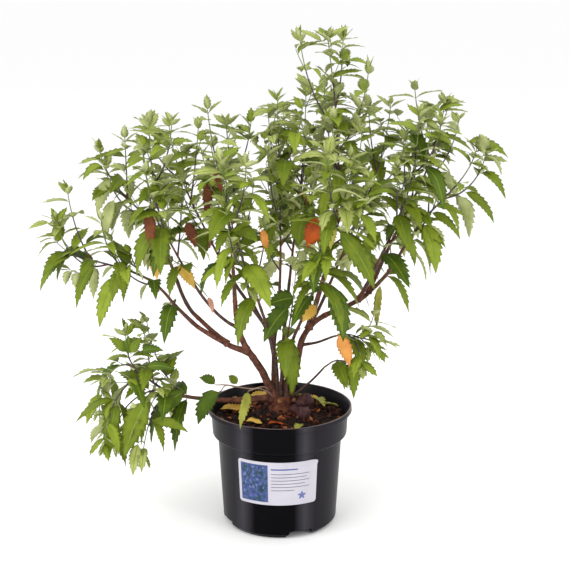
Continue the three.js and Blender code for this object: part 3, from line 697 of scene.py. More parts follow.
class MeshDraft:
    """Points and faces that become one piece."""

    def __init__(self) -> None:
        """Starts with nothing."""
        self.points: list[np.ndarray] = []
        self.faces: list[Face] = []
        self.kinds: dict[Finish, int] = {}
        self.kind_of_face: list[int] = []
        self.count = 0

    def kind(self, finish: Finish) -> int:
        """Returns the number of a finish in this piece."""
        return self.kinds.setdefault(finish, len(self.kinds))

    def add(self, points: np.ndarray, faces: Iterable[Face],
            finishes: Finish | Sequence[Finish]) -> None:
        """Adds points and the faces between them.

        Args:
            points: One point a row, in millimetres.
            faces: The corners of each face, counted within these points.
            finishes: One finish for all the faces, or one for each.
        """
        faces = list(faces)
        if isinstance(finishes, Finish):
            self.kind_of_face.extend([self.kind(finishes)] * len(faces))
        else:
            self.kind_of_face.extend(self.kind(finish) for finish in finishes)
        base = self.count
        self.faces.extend(tuple(base + i for i in face) for face in faces)
        self.points.append(np.asarray(points, float))
        self.count += len(points)

    def make(self, name: str, nodes: Iterable[str] = (),
             crease: float | None = None) -> bpy.types.Object:
        """Makes the piece.

        Args:
            name: The piece's name.
            nodes: The solids that it stands for.
            crease: Degrees between two faces above which their edge is sharp.

        Returns:
            The piece, riding on the shrub.
        """
        mesh = bpy.data.meshes.new(name)
        mesh.from_pydata((np.concatenate(self.points) * MM).tolist(), [], self.faces)
        for finish in self.kinds:
            mesh.materials.append(finish.material())
        mesh.polygons.foreach_set("material_index", self.kind_of_face)
        return seat(name, mesh, nodes, crease)


def seat(name: str, mesh: bpy.types.Mesh, nodes: Iterable[str] = (),
         crease: float | None = None) -> bpy.types.Object:
    """Puts a finished mesh in the scene.

    Args:
        name: The piece's name.
        mesh: Its mesh, in metres.
        nodes: The solids that it stands for.
        crease: Degrees between two faces above which their edge is sharp.

    Returns:
        The piece.
    """
    mesh.polygons.foreach_set("use_smooth", [True] * len(mesh.polygons))
    mesh.update()
    if crease is not None:
        mesh.set_sharp_from_angle(angle=math.radians(crease))
    piece = bpy.data.objects.new(name, mesh)
    bpy.context.scene.collection.objects.link(piece)
    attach(piece, BODY)
    nodes = list(nodes)
    if nodes:
        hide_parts(*nodes)
    LOG.info("%s: %d faces", name, len(mesh.polygons))
    return piece


def ring_quads(rings: int, sides: int) -> list[Face]:
    """Returns the faces between rings of so many points, counted ring by ring."""
    edges = [(i * sides + k, i * sides + (k + 1) % sides)
             for i in range(rings - 1) for k in range(sides)]
    return [(a, b, b + sides, a + sides) for a, b in edges]


def closed_rings(rings: int, sides: int) -> list[Face]:
    """Returns the faces between rings of points, and one over each end."""
    foot = tuple(reversed(range(sides)))
    return [*ring_quads(rings, sides), foot, tuple(range((rings - 1) * sides, rings * sides))]


@dataclass(frozen=True)
class Tube:
    """A closed round limb or twig along a line."""

    path: Path
    radius: Callable[[float], float]
    sides: int
    relief: Callable[[Vector, float, float], float] | None = None
    tip_share: float = 0.5

    def shape(self) -> tuple[np.ndarray, list[Face]]:
        """Works out the surface.

        Returns:
            The points, and the corners of each face.
        """
        line = self.path.points
        last = len(line) - 1
        rows = []
        across = None
        for i, point in enumerate(line):
            t = i / last
            along = (line[min(i + 1, last)] - line[max(i - 1, 0)]).normalized()
            if across is None:
                across = along.orthogonal()
            across = (across - along * across.dot(along)).normalized()
            beside = along.cross(across)
            for k, (cosine, sine) in enumerate(circle(self.sides)):
                out = across * cosine + beside * sine
                reach = self.radius(t)
                if self.relief:
                    angle = 2 * math.pi * k / self.sides
                    reach *= 1 + self.relief(point + out * reach, angle, t)
                rows.append((point + out * reach)[:])
        rows.append(line[0][:])
        rows.append((line[last] + self.path.heading(1.0) * self.radius(1.0)
                     * self.tip_share)[:])
        return np.array(rows), self.faces(last)

    def share_of(self, face: Face) -> float:
        """Returns the share of the length at which a face begins."""
        return min(face) / (self.sides * (len(self.path.points) - 1))

    def faces(self, last: int) -> list[Face]:
        """Lists the faces, with a fan over each end.

        Args:
            last: The number of the last ring.

        Returns:
            The corners of each face.
        """
        n = self.sides
        foot, tip = (last + 1) * n, (last + 1) * n + 1
        faces = ring_quads(last + 1, n)
        for k in range(n):
            faces.append((foot, (k + 1) % n, k))
            faces.append((tip, last * n + k, last * n + (k + 1) % n))
        return faces


class Tint(Enum):
    """The colours of the leaves, dealt out leaf by leaf."""

    DEEP = Finish("leaf_deep", (80, 100, 12), (59, 82, 7), 55, (0.5, 0.68), 0.1, 700)
    MID = Finish("leaf_mid", (109, 124, 20), (86, 104, 12), 55, (0.5, 0.68), 0.1, 700)
    FRESH = Finish("leaf_fresh", (134, 149, 40), (110, 129, 26), 55, (0.5, 0.68), 0.1, 700)
    YOUNG = Finish("leaf_young", (164, 172, 98), (136, 146, 72), 80, (0.6, 0.8), 0.08, 900)
    UNDER = Finish("leaf_underside", (184, 190, 130), (156, 164, 102), 60, (0.65, 0.85), 0.12, 700)
    VEIN = Finish("leaf_vein", (118, 138, 38), (98, 118, 26), 90, (0.5, 0.65), 0.05, 900)
    OLIVE = Finish("leaf_olive", (160, 158, 70), (132, 134, 50), 60, (0.5, 0.7), 0.1, 700)
    YELLOW = Finish("leaf_yellow", (214, 178, 84), (192, 146, 58), 60, (0.5, 0.7), 0.1, 700)
    ORANGE = Finish("leaf_orange", (174, 76, 10), (124, 50, 8), 60, (0.5, 0.7), 0.1, 700)
    PEACH = Finish("leaf_peach", (208, 146, 74), (188, 118, 54), 60, (0.5, 0.7), 0.1, 700)
    RED = Finish("leaf_red", (126, 72, 34), (88, 42, 24), 60, (0.5, 0.7), 0.1, 700)
    DRY = Finish("leaf_dry", (196, 150, 128), (160, 112, 92), 60, (0.7, 0.85), 0.2, 500)

    def finishes(self) -> dict["Side", Finish]:
        """Returns the finishes of a leaf's upper side, midrib and underside."""
        rib, under = (Tint.VEIN, Tint.UNDER) if self in GREENS else (self, self)
        return {Side.TOP: self.value, Side.RIB: rib.value, Side.UNDER: under.value}


class StemFinish(Enum):
    """The colours of the shoots' stems, from their woody feet to their soft tips."""

    WOODY = Finish("stem_woody", (112, 76, 58), (84, 54, 42), 200, (0.55, 0.8), 0.15, 1200)
    PURPLE = Finish("stem_purple", (92, 76, 82), (66, 54, 62), 160, (0.45, 0.65), 0.08, 1200)
    GREEN = Finish("stem_green", (122, 134, 84), (100, 112, 66), 160, (0.5, 0.7), 0.06, 1200)


GREENS = (Tint.DEEP, Tint.MID, Tint.FRESH, Tint.YOUNG)


class Side(Enum):
    """The parts of a leaf that differ in colour."""

    TOP = "top"
    RIB = "rib"
    UNDER = "under"


@dataclass(frozen=True)
class LeafShape:
    """The outline of a leaf as a thin lens with teeth, folded along its midrib."""

    teeth: int
    columns: tuple[float, ...]
    thickness: float = 0.36
    stalk: float = 0.06
    shoulder: float = 0.15
    first_tooth: float = 0.24
    last_tooth: float = 0.80
    before_tip: float = 0.9
    tooth_point: float = 0.58
    tooth_lead: float = 0.34
    tooth_out: float = 1.15
    tooth_in: float = 0.87
    foot_power: float = 0.62
    tip_power: float = 1.15
    stalk_width: float = 0.055

    def rows(self) -> list[Triple]:
        """Lists the rows from the stalk to just short of the tip.

        Returns:
            Each row's share of the length, its share of the half width, and how far its
            edges run ahead.
        """
        rows = [(0.0, self.stalk_width, 0.0), (self.stalk, self.stalk_width, 0.0)]
        rows += [(s, self.outline(s), 0.0) for s in (self.shoulder, self.first_tooth)]
        pitch = (self.last_tooth - self.first_tooth) / self.teeth
        for i in range(self.teeth):
            s = self.first_tooth + (i + self.tooth_point) * pitch
            rows.append((s, self.outline(s) * self.tooth_out, pitch * self.tooth_lead))
            s = self.first_tooth + (i + 1) * pitch
            rows.append((s, self.outline(s) * self.tooth_in, 0.0))
        return [*rows, (self.before_tip, self.outline(self.before_tip), 0.0)]

    def outline(self, s: float) -> float:
        """Works out how wide the blade is.

        Args:
            s: A share of its length.

        Returns:
            The share of its half width there.
        """
        share = max(0.0, (s - self.stalk) / (1 - self.stalk))
        foot, tip = self.foot_power, self.tip_power
        widest = foot / (foot + tip)
        most = widest ** foot * (1 - widest) ** tip
        return max(self.stalk_width, share ** foot * (1 - share) ** tip / most)

    def template(self) -> "LeafTemplate":
        """Works out a leaf whose length and half width are 1.

        Returns:
            Its points and faces.
        """
        rows = self.rows()
        last = len(self.columns) - 1
        spots: list[tuple[int, float, float, float]] = []
        top, under = {}, {}
        for j, (_, _, lead) in enumerate(rows):
            for k, x in enumerate(self.columns):
                top[j, k] = under[j, k] = len(spots)
                spots.append((j, x, lead * x * x, 0.0))
            for k in range(1, last) if j else ():
                under[j, k] = len(spots)
                x = self.columns[k]
                spots.append((j, x, lead * x ** 2, self.thickness))
        tip = len(spots)
        spots.append((len(rows), 0.0, 0.0, 0.0))
        faces, sides = [], []
        for k in range(last):
            upper = Side.RIB if self.columns[k] < 0 < self.columns[k + 1] else Side.TOP
            for j in range(len(rows) - 1):
                faces.append((top[j, k], top[j, k + 1], top[j + 1, k + 1], top[j + 1, k]))
                faces.append((under[j, k], under[j + 1, k], under[j + 1, k + 1],
                              under[j, k + 1]))
                sides.extend([upper, Side.UNDER])
            j = len(rows) - 1
            faces.append((top[j, k], top[j, k + 1], tip))
            faces.append((under[j, k], tip, under[j, k + 1]))
            sides.extend([Side.TOP, Side.UNDER])
        shares = np.array([row[0] for row in rows] + [1.0])
        widths = np.array([row[1] for row in rows] + [0.0])
        return LeafTemplate(shares, widths, np.array(spots), faces, sides)


class LeafKind(Enum):
    """The shapes of the full leaves and of the small ones in axils and at tips."""

    LARGE = LeafShape(5, (-1, -0.52, -0.07, 0.07, 0.52, 1))
    SMALL = LeafShape(3, (-1, -0.1, 0.1, 1), thickness=0.3)


@dataclass
class LeafTemplate:
    """A leaf's rows, its points as row, place across, lead and depth, and its faces."""

    shares: np.ndarray
    widths: np.ndarray
    spots: np.ndarray
    faces: list[Face]
    sides: list[Side]

    FLATTER_TIP = 0.6
    WAVES = 1.6

    def place(self, leaf: "Leaf") -> np.ndarray:
        """Bends the template to a leaf.

        Args:
            leaf: The leaf.

        Returns:
            One point a row, in millimetres.
        """
        s = self.shares
        along, level = leaf.headings(s)
        raised = np.cross(level, along)
        turn = np.radians(leaf.roll + leaf.twist * s)[:, None]
        level, raised = (level * np.cos(turn) + raised * np.sin(turn),
                         raised * np.cos(turn) - level * np.sin(turn))
        centre = leaf.middles(s)
        row, across, ahead, below = self.spots.T
        j = row.astype(int)
        reach = across * self.widths[j] * leaf.half_width
        fold = np.abs(reach) * math.tan(math.radians(leaf.fold)) * (1 - self.FLATTER_TIP * s[j])
        wave = np.sin(2 * math.pi * (self.WAVES * s[j] + leaf.phase)) * leaf.half_width
        lift = fold + wave * leaf.wave * across ** 2 * np.sign(across)
        points = centre[j] + level[j] * reach[:, None]
        points += raised[j] * (lift - below)[:, None]
        return points + along[j] * (ahead * leaf.size)[:, None]


@dataclass
class Leaf:
    """One leaf: where it leaves its stem, how it arches, and its colour."""

    root: Vector
    azimuth: float
    rise: Triple
    size: float
    half_width: float
    swerve: float
    roll: float
    twist: float
    fold: float
    wave: float
    phase: float
    tint: Tint
    kind: LeafKind = LeafKind.LARGE

    STEPS = 24
    PROBES = (0.25, 0.375, 0.5, 0.75, 1.0)
    OUTER = slice(2, 5)

    def headings(self, s: np.ndarray) -> tuple[np.ndarray, np.ndarray]:
        """Works out the midrib's headings.

        Args:
            s: Shares of its length.

        Returns:
            The headings there, and the level directions to the right of each.
        """
        azimuth = np.radians(self.azimuth + self.swerve * s)
        rise = np.radians(np.interp(s, (0.0, 0.5, 1.0), self.rise))
        along = np.stack([np.cos(rise) * np.cos(azimuth), np.cos(rise) * np.sin(azimuth),
                          np.sin(rise)], axis=1)
        return along, np.stack([np.sin(azimuth), -np.cos(azimuth), np.zeros_like(s)], axis=1)

    def middles(self, s: np.ndarray) -> np.ndarray:
        """Works out points of the midrib.

        Args:
            s: Shares of its length.

        Returns:
            One point a row.
        """
        along, _ = self.headings((np.arange(self.STEPS) + 0.5) / self.STEPS)
        steps = along * (self.size / self.STEPS)
        line = np.concatenate([np.zeros((1, 3)), np.cumsum(steps, axis=0)])
        knots = np.arange(self.STEPS + 1) / self.STEPS
        return np.stack([np.interp(s, knots, line[:, i]) + self.root[i] for i in range(3)],
                        axis=1)

    def probes(self) -> list[Vector]:
        """Lists the points that have to stay in the mass's space.

        Returns:
            Five along the midrib and one at each side.
        """
        line = [Vector(p) for p in self.middles(np.array(self.PROBES))]
        side = Vector((math.sin(math.radians(self.azimuth)),
                       -math.cos(math.radians(self.azimuth)), 0)) * self.half_width
        return [*line, line[2] + side, line[2] - side]


@dataclass
class Joint:
    """A place on a shoot where a pair of leaves stands."""

    place: float
    angle: float
    pair: list[Pair]


@dataclass(frozen=True)
class Shoot:
    """A stem with opposite pairs of leaves along it."""

    path: Path
    length: float
    foot_radius: float
    joints: list[Joint]

    @staticmethod
    def set_joints(length: float, random: Draws) -> list[Joint]:
        """Places the pairs, each at right angles to the one below it.

        Args:
            length: The shoot's length.
            random: Its stream of draws.

        Returns:
            The joints from foot to tip.
        """
        joints = []
        angle = random() * 180
        place = TWIG.bare_foot
        while place < length - LEAF.tip_spacing * LEAF.last_share:
            t = place / length
            pair = []
            for _ in range(2):
                size = lerp(LEAF.foot_length, LEAF.tip_length, t)
                size *= random.between(*LEAF.length_spread)
                droop = random.between(*LEAF.droop) * lerp(1, LEAF.tip_droop_share, t)
                pair.append((size, droop))
            joints.append(Joint(place, angle, pair))
            angle += 90 + (random() - 0.5) * LEAF.angle_spread
            spacing = lerp(LEAF.foot_spacing, LEAF.tip_spacing, t)
            place += spacing * random.between(*LEAF.spacing_spread)
        return joints

    def radius(self, t: float) -> float:
        """Returns the stem's radius at a share of its length."""
        return lerp(self.foot_radius, TWIG.tip_radius, t ** TWIG.taper)


@dataclass(frozen=True)
class Axil:
    """Where a leaf leaves a stem: the point, the stem's heading and the leaf's own way."""

    root: Vector
    along: Vector
    outward: Vector


@dataclass(frozen=True)
class Habit:
    """How a leaf grows: its length, its arching over, its angle to the stem, its breadth."""

    size: float
    droop: float
    opening: float = LEAF.opening
    wide: float = LEAF.half_width_share
    kind: LeafKind = LeafKind.LARGE


def pair_directions(along: Vector, angle: float) -> tuple[Vector, Vector]:
    """Finds the two ways in which a pair of leaves stands.

    Args:
        along: The stem's heading.
        angle: Degrees round the stem.

    Returns:
        Two opposite directions square to the stem.
    """
    level = along.cross(UP)
    if level.length_squared < UPRIGHT:
        level = Vector((1.0, 0.0, 0.0))
    level.normalize()
    raised = level.cross(along).normalized()
    turn = math.radians(angle)
    first = level * math.cos(turn) + raised * math.sin(turn)
    return first, -first


def axils_at(path: Path, t: float, angle: float) -> list[Axil]:
    """Returns a pair's two axils at a share of a line, so many degrees round it."""
    root, along = path.at(t), path.heading(t)
    return [Axil(root, along, outward) for outward in pair_directions(along, angle)]


@dataclass(frozen=True)
class Featured:
    """A leaf that stands out from the front: its mass, its two ends and its look."""

    mass: str
    root: Triple
    tip: Triple
    wide: float
    tint: Tint
    arch: float = 14.0
    face: float = 0.9

    FRONT = Vector((0.0, -0.97, 0.24))
    LENGTHENED = 1.02
    TWIST = (-8, 8)
    FOLD = (8, 16)
    WAVE = 0.06

    def leaf(self, draws: Draws) -> Leaf:
        """Works out the leaf, turned so that its upper side faces the front.

        Args:
            draws: A stream for its small differences.

        Returns:
            The leaf.
        """
        start = Vector(self.root)
        way = Vector(self.tip) - start
        azimuth, rise = azimuth_of(way), rise_of(way)
        level = direction(azimuth - 90, 0)
        raised = level.cross(way.normalized())
        turn = math.atan2(-self.FRONT.dot(level), self.FRONT.dot(raised))
        return Leaf(start, azimuth, (rise + self.arch, rise, rise - self.arch),
                    way.length * self.LENGTHENED, way.length * self.wide, 0,
                    self.face * math.degrees(turn), draws.between(*self.TWIST),
                    draws.between(*self.FOLD), self.WAVE, draws(), self.tint)


@dataclass(frozen=True)
class FineRule:
    """How leaves differ, and the finest growth: buds, tufts in axils and rosettes at tips."""

    breadth: Pair = (0.88, 1.12)
    swerve: Pair = (-16, 16)
    roll: Pair = (-22, 22)
    twist: Pair = (-24, 24)
    fold: Pair = (6, 24)
    wave: Pair = (0.02, 0.1)
    age_by_place: float = 0.9
    young_share: float = 0.5
    buds_from: float = 0.3
    buds: Pair = (0, 3.9)
    bud_along: Pair = (0.3, 1)
    bud_out: Pair = (0.4, 1)
    bud_aside: Pair = (-0.6, 0.6)
    bud_stalk: Pair = (3, 6.5)
    bud_places: tuple[float, ...] = (0, 0.6, 0.8, 1)
    short_share: float = 0.5
    short_twig: Pair = (6, 14)
    long_twig: Pair = (24, 54)
    twig_scale: Pair = (1.1, 0.6)
    twig_heading: Pair = (0.86, 0.6)
    twig_turn: Pair = (-20, 20)
    twig_rise: float = 80.0
    twig_step: float = 6.0
    twig_radii: Pair = (0.75, 0.4)
    two_pairs_from: float = 20.0
    tuft_size: Pair = (20, 36)
    tuft_growth: float = 0.25
    tuft_droop: Pair = (20, 80)
    tuft_opening: Pair = (35, 60)
    tuft_width: float = 0.21
    holder_radii: Pair = (0.9, 0.6)
    holder_arch: float = 2.0
    holder_choices: int = 4
    tip_pairs: tuple[tuple[float, Habit], ...] = (
        (15, Habit(37, 34, 62, 0.17, LeafKind.SMALL)),
        (6, Habit(25, 16, 44, 0.2, LeafKind.SMALL)),
    )
    closed_share: float = 0.35
    closed_tip: Habit = Habit(18, -4, 14, 0.27, LeafKind.SMALL)
    open_tip: Habit = Habit(14, 4, 32, 0.2, LeafKind.SMALL)
    tip_spread: Pair = (0.85, 1.15)


FINE = FineRule()


class Mass:
    """The shoots and leaves that grow on from one bough."""

    TUFT_SEED = 50000
    BUD_SEED = 90000
    TUFT_SHARE = 0.58
    TUFT_SHARES = {"left_low": 0.12, "rim_left": 0.3, "rim_right": 0.25, "left_up": 0.4,
                   "right_low": 0.22, "right_mid": 0.3, "back_right": 0.4,
                   "centre_left": 0.85, "left_mid": 0.35, "back_left": 0.4}
    AGES = ((0.45, Tint.DEEP), (1.05, Tint.MID), (1.6, Tint.FRESH), (math.inf, Tint.YOUNG))

    def __init__(self, bough: Bough, seed: int, skeleton: Skeleton) -> None:
        """Grows the mass.

        Args:
            bough: The bough that carries it.
            seed: The start of its streams of draws.
            skeleton: The lines and spaces of the whole shrub.
        """
        self.bough = bough
        self.seed = seed
        self.skeleton = skeleton
        self.tuft_share = self.TUFT_SHARES.get(bough.name, self.TUFT_SHARE)
        self.leaves: list[Leaf] = []
        self.buds: list[Path] = []
        self.twigs: list[tuple[Path, Pair]] = []
        shoots, leader = bough.shoots, skeleton.leaders[bough.name]
        joints = Shoot.set_joints(shoots.length, Draws(seed))
        self.shoots = [Shoot(leader, shoots.length, bough.radius[1], joints)]
        for i in range(shoots.sides):
            share = lerp(TWIG.first_side, TWIG.last_side, (i + TWIG.side_offset) / shoots.sides)
            self.add_side_shoot(leader, share, i)
        for i, shoot in enumerate(self.shoots):
            self.add_leaves(shoot, Draws(seed + self.TUFT_SEED + i))
            self.add_buds(shoot, Draws(seed + self.BUD_SEED + i))

    def free(self, points: Sequence[Vector]) -> bool:
        """Returns whether all of some points are free for this mass."""
        return self.skeleton.fits(self.bough.name, points).all()

    def add_side_shoot(self, leader: Path, t: float, index: int) -> None:
        """Adds a side shoot, cut where it would leave the mass's space.

        Args:
            leader: The leading shoot's line.
            t: The share of it at which this one leaves.
            index: The number of the side shoot.
        """
        shoots = self.bough.shoots
        random = Draws(self.seed + index + 1)
        along = leader.heading(t)
        outward, _ = pair_directions(along, shoots.spin + index * TWIG.golden_angle)
        leave = math.radians(TWIG.leave_angle)
        heading = along * math.cos(leave) + outward * math.sin(leave)
        ahead = shoots.length * (1 - t) * random.between(*TWIG.ahead_spread)
        reach = shoots.side_length * random.between(*TWIG.reach_spread)
        rise = rise_of(heading)
        droops = shoots.hang and index % TWIG.rising_every != 0
        hanging = (rise * TWIG.hang_share, *TWIG.hang_rises)
        rising = (rise, lerp(rise, TWIG.end_rise, TWIG.middle_share), TWIG.end_rise)
        length = reach if droops else min(ahead + TWIG.end_margin, reach)
        turn = (random() - 0.5) * TWIG.turn_spread
        path = Path.grown(leader.at(t), azimuth_of(heading), turn,
                          hanging if droops else rising, length, TWIG.step)
        free = self.skeleton.fits(self.bough.name, path.points[1:])
        kept = len(path.points) if free.all() else int(np.argmin(free)) + 1
        kept_length = length * (kept - 1) / (len(path.points) - 1)
        if kept_length >= TWIG.shortest:
            self.shoots.append(Shoot(Path(path.points[:kept]), kept_length, TWIG.side_radius,
                                     Shoot.set_joints(kept_length, random)))

    def leaf(self, axil: Axil, habit: Habit, tint: Tint, draws: Draws) -> Leaf:
        """Works out one leaf.

        Args:
            axil: Where it leaves the stem.
            habit: How it grows.
            tint: Its colour.
            draws: A stream for its small differences.

        Returns:
            The leaf.
        """
        opened = math.radians(habit.opening)
        heading = axil.along * math.cos(opened) + axil.outward * math.sin(opened)
        rise = rise_of(heading)
        fall = max(rise - habit.droop, LEAF.steepest)
        middle = lerp(rise, fall, LEAF.middle_droop)
        return Leaf(
            axil.root, azimuth_of(heading), (rise, middle, fall), habit.size,
            habit.size * habit.wide * draws.between(*FINE.breadth),
            draws.between(*FINE.swerve), draws.between(*FINE.roll),
            draws.between(*FINE.twist), draws.between(*FINE.fold),
            draws.between(*FINE.wave), draws(), tint, habit.kind)

    def add_leaves(self, shoot: Shoot, draws: Draws) -> None:
        """Puts leaves on every joint of a shoot, tufts in their axils and a tip rosette.

        Args:
            shoot: The shoot.
            draws: A stream for what the shrub's solids leave out.
        """
        for joint in shoot.joints:
            t = joint.place / shoot.length
            age = draws() + t * FINE.age_by_place
            tint = next(tint for limit, tint in self.AGES if age < limit)
            for axil, grown in zip(axils_at(shoot.path, t, joint.angle), joint.pair):
                self.try_leaf(axil, Habit(*grown), tint, draws)
                if draws() < self.tuft_share:
                    self.add_tuft(axil, t, draws)
        self.add_rosette(shoot, draws)

    def add_buds(self, shoot: Shoot, draws: Draws) -> None:
        """Sets up to three stalked buds in the axils of a shoot's upper part.

        Args:
            shoot: The shoot.
            draws: A stream for their number and their ways.
        """
        for joint in shoot.joints:
            t = joint.place / shoot.length
            if t <= FINE.buds_from:
                continue
            for axil in axils_at(shoot.path, t, joint.angle):
                for _ in range(int(draws.between(*FINE.buds))):
                    way = axil.along * draws.between(*FINE.bud_along)
                    way += axil.outward * draws.between(*FINE.bud_out)
                    way += axil.along.cross(axil.outward) * draws.between(*FINE.bud_aside)
                    way.normalize()
                    stalk = draws.between(*FINE.bud_stalk)
                    self.buds.append(Path([axil.root + way * (stalk * share)
                                           for share in FINE.bud_places]))

    def try_leaf(self, axil: Axil, habit: Habit, tint: Tint, draws: Draws) -> None:
        """Adds a leaf, turned or made smaller if it has to be, or skips it.

        Args:
            axil: Where it leaves the stem.
            habit: How it would grow.
            tint: Its colour.
            draws: A stream for its small differences.
        """
        for share in LEAF.size_tries:
            for swing in LEAF.swing_tries:
                outward = Quaternion(axil.along, math.radians(swing)) @ axil.outward
                leaf = self.leaf(replace(axil, outward=outward),
                                 replace(habit, size=habit.size * share), tint, draws)
                if self.free(leaf.probes()):
                    self.leaves.append(leaf)
                    return

    def add_small(self, axil: Axil, habit: Habit, draws: Draws) -> None:
        """Adds a young leaf if its outer half is free.

        Args:
            axil: Where it leaves the stem.
            habit: How it grows.
            draws: A stream for its colour and its small differences.
        """
        tint = Tint.YOUNG if draws() < FINE.young_share else Tint.FRESH
        leaf = self.leaf(axil, habit, tint, draws)
        if self.free(leaf.probes()[Leaf.OUTER]):
            self.leaves.append(leaf)

    def add_tuft(self, axil: Axil, t: float, draws: Draws) -> None:
        """Grows a short twig with small leaves from a leaf's axil.

        Args:
            axil: The axil.
            t: The share of the shoot at which it is.
            draws: A stream for its sizes and ways.
        """
        short = draws() < FINE.short_share
        length = draws.between(*(FINE.short_twig if short else FINE.long_twig))
        length *= lerp(*FINE.twig_scale, t)
        ahead, out = FINE.twig_heading
        heading = (axil.along * ahead + axil.outward * out).normalized()
        rise = rise_of(heading)
        path = Path.grown(axil.root, azimuth_of(heading), draws.between(*FINE.twig_turn),
                          (rise, lerp(rise, FINE.twig_rise, 0.5)), length, FINE.twig_step)
        if not self.free(path.points[-1:]):
            return
        self.twigs.append((path, FINE.twig_radii))
        pairs = 1 if length < FINE.two_pairs_from else 2
        for i in range(pairs):
            share = 1 - 0.5 * i / pairs
            for side in axils_at(path, share, draws() * 180):
                size = draws.between(*FINE.tuft_size) * (1 + FINE.tuft_growth * i)
                habit = Habit(size, draws.between(*FINE.tuft_droop),
                              draws.between(*FINE.tuft_opening), FINE.tuft_width,
                              LeafKind.SMALL)
                self.add_small(side, habit, draws)

    def add_featured(self, item: Featured, draws: Draws) -> None:
        """Adds a featured leaf and the twig that joins it to the nearest shoot.

        Args:
            item: The leaf.
            draws: A stream for its small differences.
        """
        points = [p for shoot in self.shoots
                  for p in shoot.path.smooth(FINE.holder_choices).points]
        root = Vector(item.root)
        near = min(points, key=lambda p: (p - root).length)
        middle = near.lerp(root, 0.5) + UP * FINE.holder_arch
        self.twigs.append((Path([near, middle, root]), FINE.holder_radii))
        self.leaves.append(item.leaf(draws))

    def add_rosette(self, shoot: Shoot, draws: Draws) -> None:
        """Ends a shoot with close pairs of ever smaller leaves.

        Args:
            shoot: The shoot.
            draws: A stream for their sizes and colours.
        """
        angle = (shoot.joints[-1].angle if shoot.joints else 0) + 90
        tip = FINE.closed_tip if draws() < FINE.closed_share else FINE.open_tip
        for back, habit in (*FINE.tip_pairs, (1, tip)):
            for axil in axils_at(shoot.path, 1 - back / shoot.length, angle):
                size = habit.size * draws.between(*FINE.tip_spread)
                self.add_small(axil, replace(habit, size=size), draws)
            angle += 90


